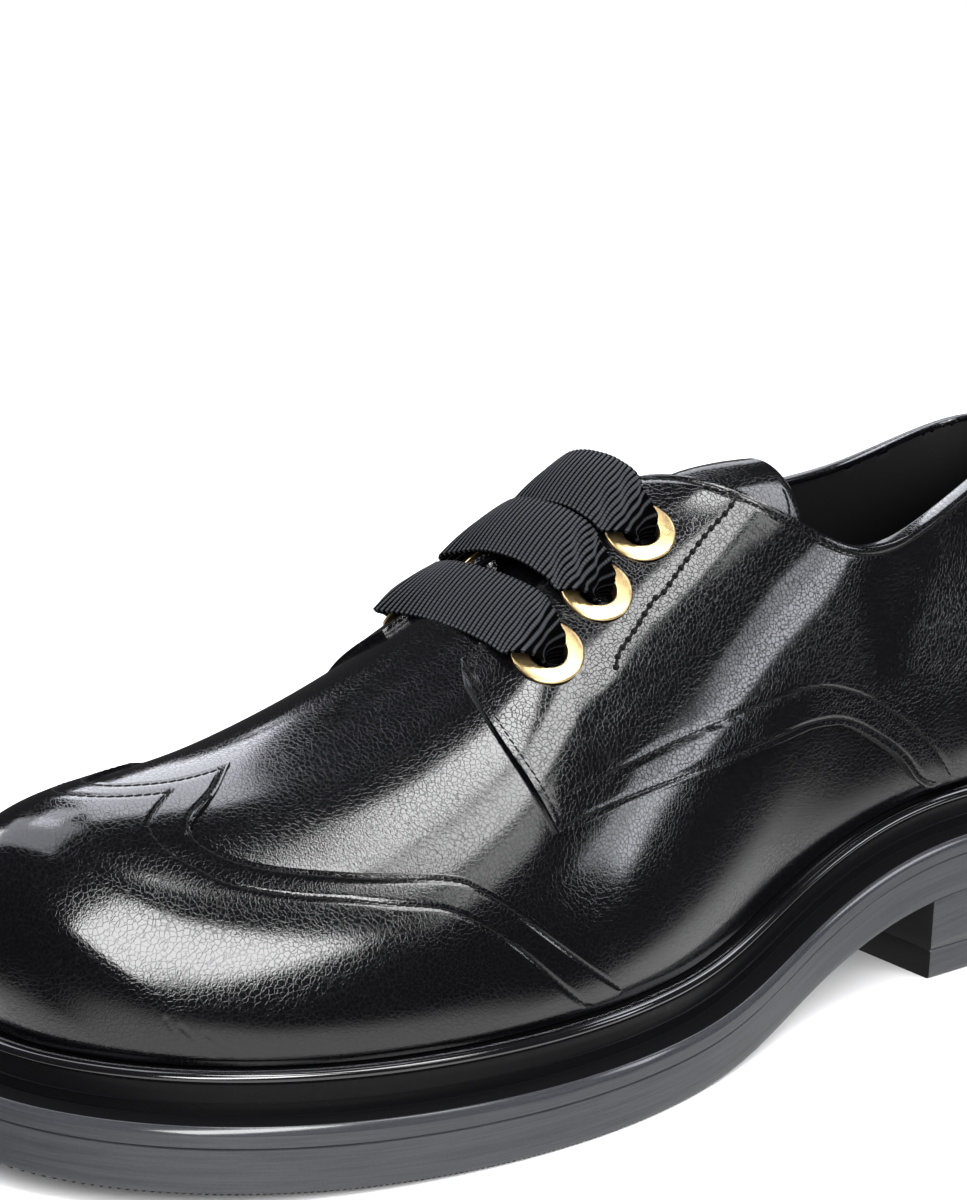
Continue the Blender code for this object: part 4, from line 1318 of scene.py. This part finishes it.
class SHOE_OT_sole(bpy.types.Operator):
    """Make rand, outsole, tread ribs and sock lining"""

    bl_idname = "shoe.sole"
    bl_label = "Sole"

    def execute(self, context):
        sizes = context.scene.shoe_sizes
        self.outsole(sizes)
        self.rand()
        self.sock_lining()
        self.tread_ribs(sizes)
        return {"FINISHED"}

    def outsole(self, sizes):
        """The slab: a scored line round its side, and a round arris under the ledge."""
        tread, score = sizes.tread / MM, sizes.score / MM
        reach, top = OUTSOLE_REACH, OUTSOLE_THICK
        low, high = SCORE_HEIGHT - SCORE_HALF, SCORE_HEIGHT + SCORE_HALF
        side = [(reach - 0.6, tread), (reach - 0.15, tread + 0.12), (reach, tread + 0.5)]
        side += [(reach, z) for z in np.linspace(2.0, low, 6)]
        side += [(reach - 0.7 * score, SCORE_HEIGHT - 0.1), (reach - score, SCORE_HEIGHT)]
        side += [(reach - 0.7 * score, SCORE_HEIGHT + 0.1), (reach, high)]
        side += [(reach, z) for z in np.linspace(9.0, top - 1.9, 3)]
        side += arc((reach - 2.99, top - 1.93), 3.0, 5, 35, 8)
        side += arc((reach - 0.94, top - 0.5), 0.5, 40, 90, 5)
        side += [(RAND_REACH + 0.6, top), (RAND_REACH - 0.6, top - 0.05)]
        piece = sole_piece("outsole_slab", side, tread_height, across=16)
        dress(piece, brushed_sole(), "sole_edge", "outsole")

    def rand(self):
        """The band: a raised line low on its side and a lacquered bead on top."""
        side = [(RAND_REACH - 0.10, 0.02 - RAND_HEIGHT), (RAND_REACH - 0.26, RAND_LINE - 0.12)]
        side += [(RAND_REACH + 0.02, RAND_LINE), (RAND_REACH - 0.30, RAND_LINE + 0.12)]
        side += [(RAND_REACH - 0.36, -3.8), (RAND_REACH - 0.48, -2.4)]
        side += arc(BEAD_CENTRE, BEAD_RADIUS, -40, 130, 18)
        side += [(0.6, -0.95), (-1.0, -1.0)]
        piece = sole_piece("rand_band", side, feather_height, across=6)
        dress(piece, glossy_rand(), "rand", "rand")
        second_finish(
            piece, dull_rand(), lambda place, turn: place[:, 2] - feather_height(place[:, 0]) < LACQUER_END
        )

    def sock_lining(self):
        """The sock lining on the insole's place."""
        top = INSOLE_THICK - FEATHER_TUCK
        side = [(-INSOLE_INSET, -FEATHER_TUCK), (-INSOLE_INSET, top - 0.6), (-INSOLE_INSET - 0.6, top)]
        piece = sole_piece("sock_lining", side, feather_height, across=24)
        dress(piece, lining_leather(), "lining", "insole")

    def tread_ribs(self, sizes):
        """Fine ribs across the tread, which show as teeth along its edge."""
        sides = np.linspace(0.0, TOE, 2001)
        edges = [sole_outline(OUTSOLE_REACH - TREAD_INSET, stations) for stations in (RING - sides, sides)]
        pitch, height = sizes.tread_pitch / MM, sizes.tread / MM
        places = np.arange(edges[1][0, 0] + TREAD_END, edges[1][-1, 0] - TREAD_END, pitch)
        points, faces = [], []
        for x in places[places > HEEL_BREAST + 1.0]:
            base = len(points)
            for edge in edges:
                y = np.interp(x, np.maximum.accumulate(edge[:, 0]), edge[:, 1])
                for dx, dz in ((-0.42, 1.2), (-0.26, 0.0), (0.26, 0.0), (0.42, 1.2)):
                    points.append((x + dx * pitch, y, tread_height(x) + dz * height))
            faces += [[base + k for k in (0, 1, 2, 3)], [base + k for k in (7, 6, 5, 4)]]
            for k, after in ((0, 1), (1, 2), (2, 3), (3, 0)):
                faces.append([base + k, base + k + 4, base + after + 4, base + after])
        piece = mesh_piece("tread_ribs", points, faces)
        weld(piece)
        dress(piece, tread_rubber(), "sole_edge")


class SHOE_OT_heel(bpy.types.Operator):
    """Make the heel's stack and the top lift under it"""

    bl_idname = "shoe.heel"
    bl_label = "Heel"

    def execute(self, context):
        dense = np.linspace(0.0, 0.5 * TOE, 801)
        lateral_end, medial_end = (
            np.interp(HEEL_BREAST, sole_outline(OUTSOLE_REACH, stations)[:, 0], dense)
            for stations in (dense, RING - dense)
        )
        share = np.linspace(0.0, 1.0, 110)
        sides = (share * lateral_end, RING - share * medial_end)
        self.layer("heel_lift", self.lift_columns(*sides), "top_lift", "heel_top_lift")
        self.layer("heel_stack", self.stack_columns(*sides), "sole_edge", "heel_block")
        return {"FINISHED"}

    def layer(self, name, points, slot, node):
        """A layer of the heel, cut off straight at the breast."""
        points[-1, :, 0] = HEEL_BREAST
        piece = grid_piece(name, points)
        sole_notes(piece, points, tread_height)
        weld(piece, close=True)
        bevel(piece, HEEL_ROUND * MM, 2)
        dress(piece, brushed_sole(), slot, node)
        second_finish(piece, tread_rubber(), lambda place, turn: turn[:, 0] > 0.9)

    def lift_columns(self, lateral, medial):
        """The top lift's columns, on the floor."""
        reach, seam = OUTSOLE_REACH, TOP_LIFT_THICK
        side = [(reach - 0.7, 0.0), (reach - 0.2, 0.2), (reach, 0.7)]
        side += [(reach, z) for z in np.linspace(1.5, seam - 0.5, 4)] + [(reach - 0.3, seam - 0.05)]
        return sole_columns(side, np.zeros_like, lateral, medial, HEEL_ACROSS)

    def stack_columns(self, lateral, medial):
        """The stack's columns: its side runs from the top lift up into the outsole's underside."""
        foot = TOP_LIFT_THICK + 0.02
        sides = []
        for stations in (lateral, medial):
            side = []
            for inward, share in ((0.3, 0.0), (0.0, 0.04), (0.0, 0.3), (0.0, 0.6), (0.0, 0.9), (0.0, 1.0)):
                outline = sole_outline(OUTSOLE_REACH - inward, stations)
                top = tread_height(outline[:, 0]) + 0.35
                side.append(np.column_stack([outline, foot + share * (top - foot)]))
            sides.append(side)
        return closed_section(sides[0], sides[1][::-1], HEEL_ACROSS)


class SHOE_OT_eyelets(bpy.types.Operator):
    """Set the six brass eyelets"""

    bl_idname = "shoe.eyelets"
    bl_label = "Eyelets"
    sides: IntProperty(name="Sides", description="Divisions round an eyelet", default=72)

    def execute(self, context):
        sizes = context.scene.shoe_sizes
        seat = sizes.quarter / MM
        rim, hole = EYELET_RADIUS + 0.1, EYELET_HOLE - 0.3
        profile = [(rim - 0.35, -0.1), (rim - 0.02, 0.05), (rim, 0.22), (rim - 0.12, 0.42)]
        profile += [(rim - 0.4, 0.53), (rim - 1.0, 0.62), (rim - 1.6, 0.70), (hole + 0.6, 0.74)]
        profile += arc((hole + 0.4, 0.36), 0.4, 75, 180, 7)
        profile += [(hole, -1.0), (hole, -2.6), (hole + 0.35, -2.6), (hole + 0.35, -0.1), profile[0]]
        angles = np.linspace(0.0, 2.0 * np.pi, self.sides + 1)
        radius, rise = np.array(profile).T
        ring = np.stack([
            np.cos(angles)[:, None] * radius, np.sin(angles)[:, None] * radius,
            np.zeros_like(angles)[:, None] + rise,
        ], axis=-1)
        for medial, label in ((False, "lateral"), (True, "medial")):
            for number, row in enumerate(EYELETS, start=1):
                place = eyelet_place(row, medial)
                up = Vector(last_normal(*place))
                turn = np.array(up.to_track_quat("Z", "Y").to_matrix())
                points = skin(*place, seat) + ring @ turn.T
                piece = grid_piece(f"{label}_eyelet_ring_{number}", points)
                weld(piece)
                dress(piece, pale_brass(), "eyelet_brass", f"eyelet_{label}_{number}")
        return {"FINISHED"}


class SHOE_OT_lace(bpy.types.Operator):
    """Run the ribbon out of each eyelet, over the throat and into the eyelet across"""

    bl_idname = "shoe.lace"
    bl_label = "Lace"
    per_rib: IntProperty(name="Per rib", description="Divisions of one rib", default=8)
    columns: IntProperty(name="Columns", description="Divisions across the ribbon", default=22)

    def execute(self, context):
        sizes = context.scene.shoe_sizes
        for number, row in enumerate(EYELETS, start=1):
            self.bar(number, row, sizes)
        return {"FINISHED"}

    def route(self, number, row, sizes):
        """Centre line of a bar, as points close together."""
        rise, extra = BAR_RISE[number - 1], MEDIAL_LIFT[number - 1]
        seat = sizes.quarter / MM
        ends = []
        centres = [last_point(*eyelet_place(row, medial)) for medial in (False, True)]
        # Each way out of an eyelet as (lift over the last, slide to the other side)
        ways = (
            ((-4.0, 0.5), (-1.2, 0.6), (seat, 0.8), (seat + 1.4, 1.8), (seat + 2.0, 4.2)),
            ((-4.0, -1.6), (-1.2, -1.6), (seat, -1.6), (seat + 2.2 + 0.6 * extra, -1.2),
             (seat + 4.2 + extra, 1.0)),
        )
        for medial, way in zip((False, True), ways):
            place = eyelet_place(row, medial)
            normal = last_normal(*place)
            inward = centres[1 - medial] - centres[medial]
            inward = unit(inward - (inward @ normal) * normal)
            ends.append([skin(*place, lift) + slide * inward for lift, slide in way])
        first, second = ends
        bridge = []
        for f in np.arange(1, 8) / 8.0:
            point = (1.0 - f) * first[-1] + f * second[-1]
            point[2] += rise * (1.0 - abs(2.0 * f - 1.0) ** 2.4)
            bridge.append(point)
        line = hermite(np.array(first + bridge + second[::-1]), 1500)
        pitch = sizes.rib_pitch / MM / self.per_rib
        return resampled(line, pitch)

    def eyelet_line(self, medial):
        """Direction of a side's row of eyelets, to the toe, which the ribbon lies along."""
        first, last = (last_point(*eyelet_place(EYELETS[k], medial)) for k in (0, -1))
        return unit(first - last)

    def bar(self, number, row, sizes):
        """One bar of the ribbon: gathered in both eyelets, and flat with a few pleats between."""
        path = self.route(number, row, sizes)
        share = smooth_step(0.55, 0.95, np.linspace(0.0, 1.0, len(path)))[:, None]
        width = unit((1.0 - share) * self.eyelet_line(False) + share * self.eyelet_line(True))
        face = unit(np.cross(unit(np.gradient(path, axis=0)), width))
        length = np.concatenate([[0.0], np.cumsum(np.linalg.norm(np.diff(path, axis=0), axis=1))])
        left = length[-1] - length
        trough = (1.0 - smooth_step(*TROUGH_OPENS, length))[:, None]
        tunnel = (1.0 - smooth_step(*TUNNEL_OPENS, left))[:, None]
        half = 0.5 * sizes.ribbon_width / MM
        across = np.linspace(-1.0, 1.0, self.columns + 1)[None, :] * half
        ribs = np.cos(2.0 * np.pi * length / (sizes.rib_pitch / MM))
        scallop = 1.0 + SCALLOP * ribs[:, None] * (np.abs(across) > 0.98 * half)
        sideways = across * scallop * (1.0 - GATHERED * np.maximum(trough, tunnel))
        edge = (across / half) ** 2
        lift = TROUGH_CURL * trough * edge - TUNNEL_CURL * tunnel * edge - CROWN_CURL * edge
        window = smooth_step(*PLEATS_RISE, length) * (1.0 - smooth_step(*PLEATS_FALL, length))
        turns = length[:, None] / PLEAT_LENGTH + across / PLEAT_SLANT + 0.21 * number
        lift = lift + PLEAT_LIFTS[number - 1] * window[:, None] * np.sin(2.0 * np.pi * turns)
        near = 1.0 - smooth_step(*RIBS_RISE, np.minimum(length, left))
        lift = lift + (sizes.rib_height / MM * ribs * (1.0 - 0.6 * near))[:, None]
        points = path[:, None] + sideways[..., None] * width[:, None] + lift[..., None] * face[:, None]
        piece = grid_piece(f"ribbon_bar_{number}", points)
        # The rib value that the ribbon's colour reads is lowered near the eyelets, which paints shade on
        # the gathered ends
        note(piece, "rib", np.broadcast_to((ribs - 0.3 * near)[:, None], points.shape[:2]))
        note(piece, "across", np.broadcast_to(across * MM, points.shape[:2]))
        thicken(piece, sizes.ribbon_thick)
        dress(piece, grosgrain(), "ribbon", f"lace_bar_{number}")


class SHOE_OT_stage(bpy.types.Operator):
    """Set the floor, the lights and the camera"""

    bl_idname = "shoe.stage"
    bl_label = "Stage"

    def execute(self, context):
        scene = context.scene
        choose()
        bpy.ops.mesh.primitive_plane_add(size=FLOOR_SIZE)
        floor = context.object
        floor.name = "paper_floor"
        floor.data.materials.append(floor_paper())
        floor.visible_glossy = False
        for softbox in SOFTBOXES:
            self.softbox(scene, *softbox)
        self.flag(scene.objects[FLAGGED[0]], FLAGGED[1])
        self.even_light(scene)
        self.surroundings(scene)
        self.camera(scene)
        scene.view_settings.view_transform = "Standard"
        return {"FINISHED"}

    def direction(self, azimuth, elevation):
        """A direction from angles in degrees."""
        a, e = math.radians(azimuth), math.radians(elevation)
        return Vector((math.cos(e) * math.cos(a), math.cos(e) * math.sin(a), math.sin(e)))

    def softbox(self, scene, name, start, end, distance, spread, brightness, tint):
        """A softbox that reaches from one direction to another and faces the shoe."""
        first, last = self.direction(*start), self.direction(*end)
        way = (first + last).normalized()
        along = (last - first).normalized()
        lamp = bpy.data.lights.new(name, "AREA")
        lamp.shape = "RECTANGLE"
        lamp.size = 2.0 * distance * math.tan(0.5 * first.angle(last))
        lamp.size_y = 2.0 * distance * math.tan(math.radians(0.5 * spread))
        lamp.energy = brightness * math.pi * lamp.size * lamp.size_y
        lamp.color = linear(tint)[:3]
        holder = bpy.data.objects.new(name, lamp)
        turn = Matrix((along, way.cross(along), way)).transposed().to_4x4()
        holder.matrix_world = Matrix.Translation(Vector(SHOE_MIDDLE) + distance * way) @ turn
        holder.visible_camera = False
        scene.collection.objects.link(holder)

    def even_light(self, scene):
        """The sun that lights the paper evenly."""
        lamp = bpy.data.lights.new("even top light", "SUN")
        lamp.energy = SUN_STRENGTH
        lamp.angle = math.radians(SUN_ANGLE)
        holder = bpy.data.objects.new("even top light", lamp)
        holder.visible_glossy = False
        holder.rotation_euler = [math.radians(angle) for angle in SUN_TILT]
        scene.collection.objects.link(holder)

    def flag(self, lamp, name):
        """Keeps a lamp off one piece, as a black flag beside the lamp does."""
        kept = bpy.data.collections.new(f"{lamp.name} flag")
        kept.objects.link(bpy.data.objects[name])
        kept.collection_objects[0].light_linking.link_state = "EXCLUDE"
        lamp.light_linking.receiver_collection = kept

    def surroundings(self, scene):
        """What the polish mirrors besides the lamps: a dark room over a white floor near the shoe."""
        world = bpy.data.worlds.new("studio")
        scene.world = world
        world.use_nodes = True
        tree = world.node_tree
        way = add_node(tree, "ShaderNodeTexCoord").outputs["Generated"]
        lobes = []
        for axis, low, high in FLOOR_LOBES:
            toward = add_node(tree, "ShaderNodeVectorMath", {0: way, 1: axis}, operation="DOT_PRODUCT")
            lobes.append(add_node(
                tree, "ShaderNodeMapRange",
                {"Value": toward.outputs["Value"], "From Min": low, "From Max": high,
                 "To Min": ROOM_GLOW, "To Max": FLOOR_GLOW},
                interpolation_type="SMOOTHSTEP",
            ).outputs[0])
        pale = add_node(tree, "ShaderNodeMath", {0: lobes[0], 1: lobes[1]}, operation="MAXIMUM")
        fill(tree, tree.nodes["Background"], {"Color": pale.outputs[0]})

    def camera(self, scene):
        """The camera, looking the way that its heading, pitch and roll give."""
        g, p, r = (math.radians(v) for v in (CAMERA_HEADING, CAMERA_PITCH, CAMERA_ROLL))
        ahead = Vector((-math.cos(g) * math.cos(p), -math.sin(g) * math.cos(p), -math.sin(p)))
        right = Vector((-math.sin(g), math.cos(g), 0.0))
        up = right.cross(ahead)
        right, up = math.cos(r) * right + math.sin(r) * up, math.cos(r) * up - math.sin(r) * right
        lens = bpy.data.cameras.new("camera")
        lens.sensor_width = SENSOR
        lens.lens = CAMERA_FOCUS / FRAME_HEIGHT * SENSOR
        lens.clip_start = 0.01
        holder = bpy.data.objects.new("camera", lens)
        turn = Matrix((right, up, -ahead)).transposed().to_4x4()
        holder.matrix_world = Matrix.Translation(Vector(to_frame(CAMERA_PLACE))) @ turn
        scene.collection.objects.link(holder)
        scene.camera = holder


class SHOE_PT_panel(bpy.types.Panel):
    """Lists the shoe's pieces"""

    bl_idname = "SHOE_PT_panel"
    bl_label = "Derby shoe"
    bl_space_type = "VIEW_3D"
    bl_region_type = "UI"
    bl_category = "Shoe"

    def draw(self, context):
        for operator in OPERATORS:
            self.layout.operator(operator.bl_idname)
        for group in (context.scene.shoe_sizes, context.scene.shoe_colours):
            for name in group.__annotations__:
                self.layout.prop(group, name)


OPERATORS = (
    SHOE_OT_upper, SHOE_OT_quarters, SHOE_OT_wing, SHOE_OT_tongue, SHOE_OT_collar, SHOE_OT_stitches,
    SHOE_OT_sole, SHOE_OT_heel, SHOE_OT_eyelets, SHOE_OT_lace, SHOE_OT_stage,
)
CLASSES = (ShoeSizes, ShoeColours, *OPERATORS, SHOE_PT_panel)


def register():
    """Makes the shoe's classes and settings known to Blender."""
    for item in CLASSES:
        bpy.utils.register_class(item)
    bpy.types.Scene.shoe_sizes = PointerProperty(type=ShoeSizes)
    bpy.types.Scene.shoe_colours = PointerProperty(type=ShoeColours)


def unregister():
    """Takes the shoe's classes and settings out of Blender."""
    del bpy.types.Scene.shoe_colours
    del bpy.types.Scene.shoe_sizes
    for item in reversed(CLASSES):
        bpy.utils.unregister_class(item)


def main():
    """Runs every operator."""
    register()
    for operator in OPERATORS:
        group, name = operator.bl_idname.split(".")
        getattr(getattr(bpy.ops, group), name)()


if __name__ == "__main__":
    main()
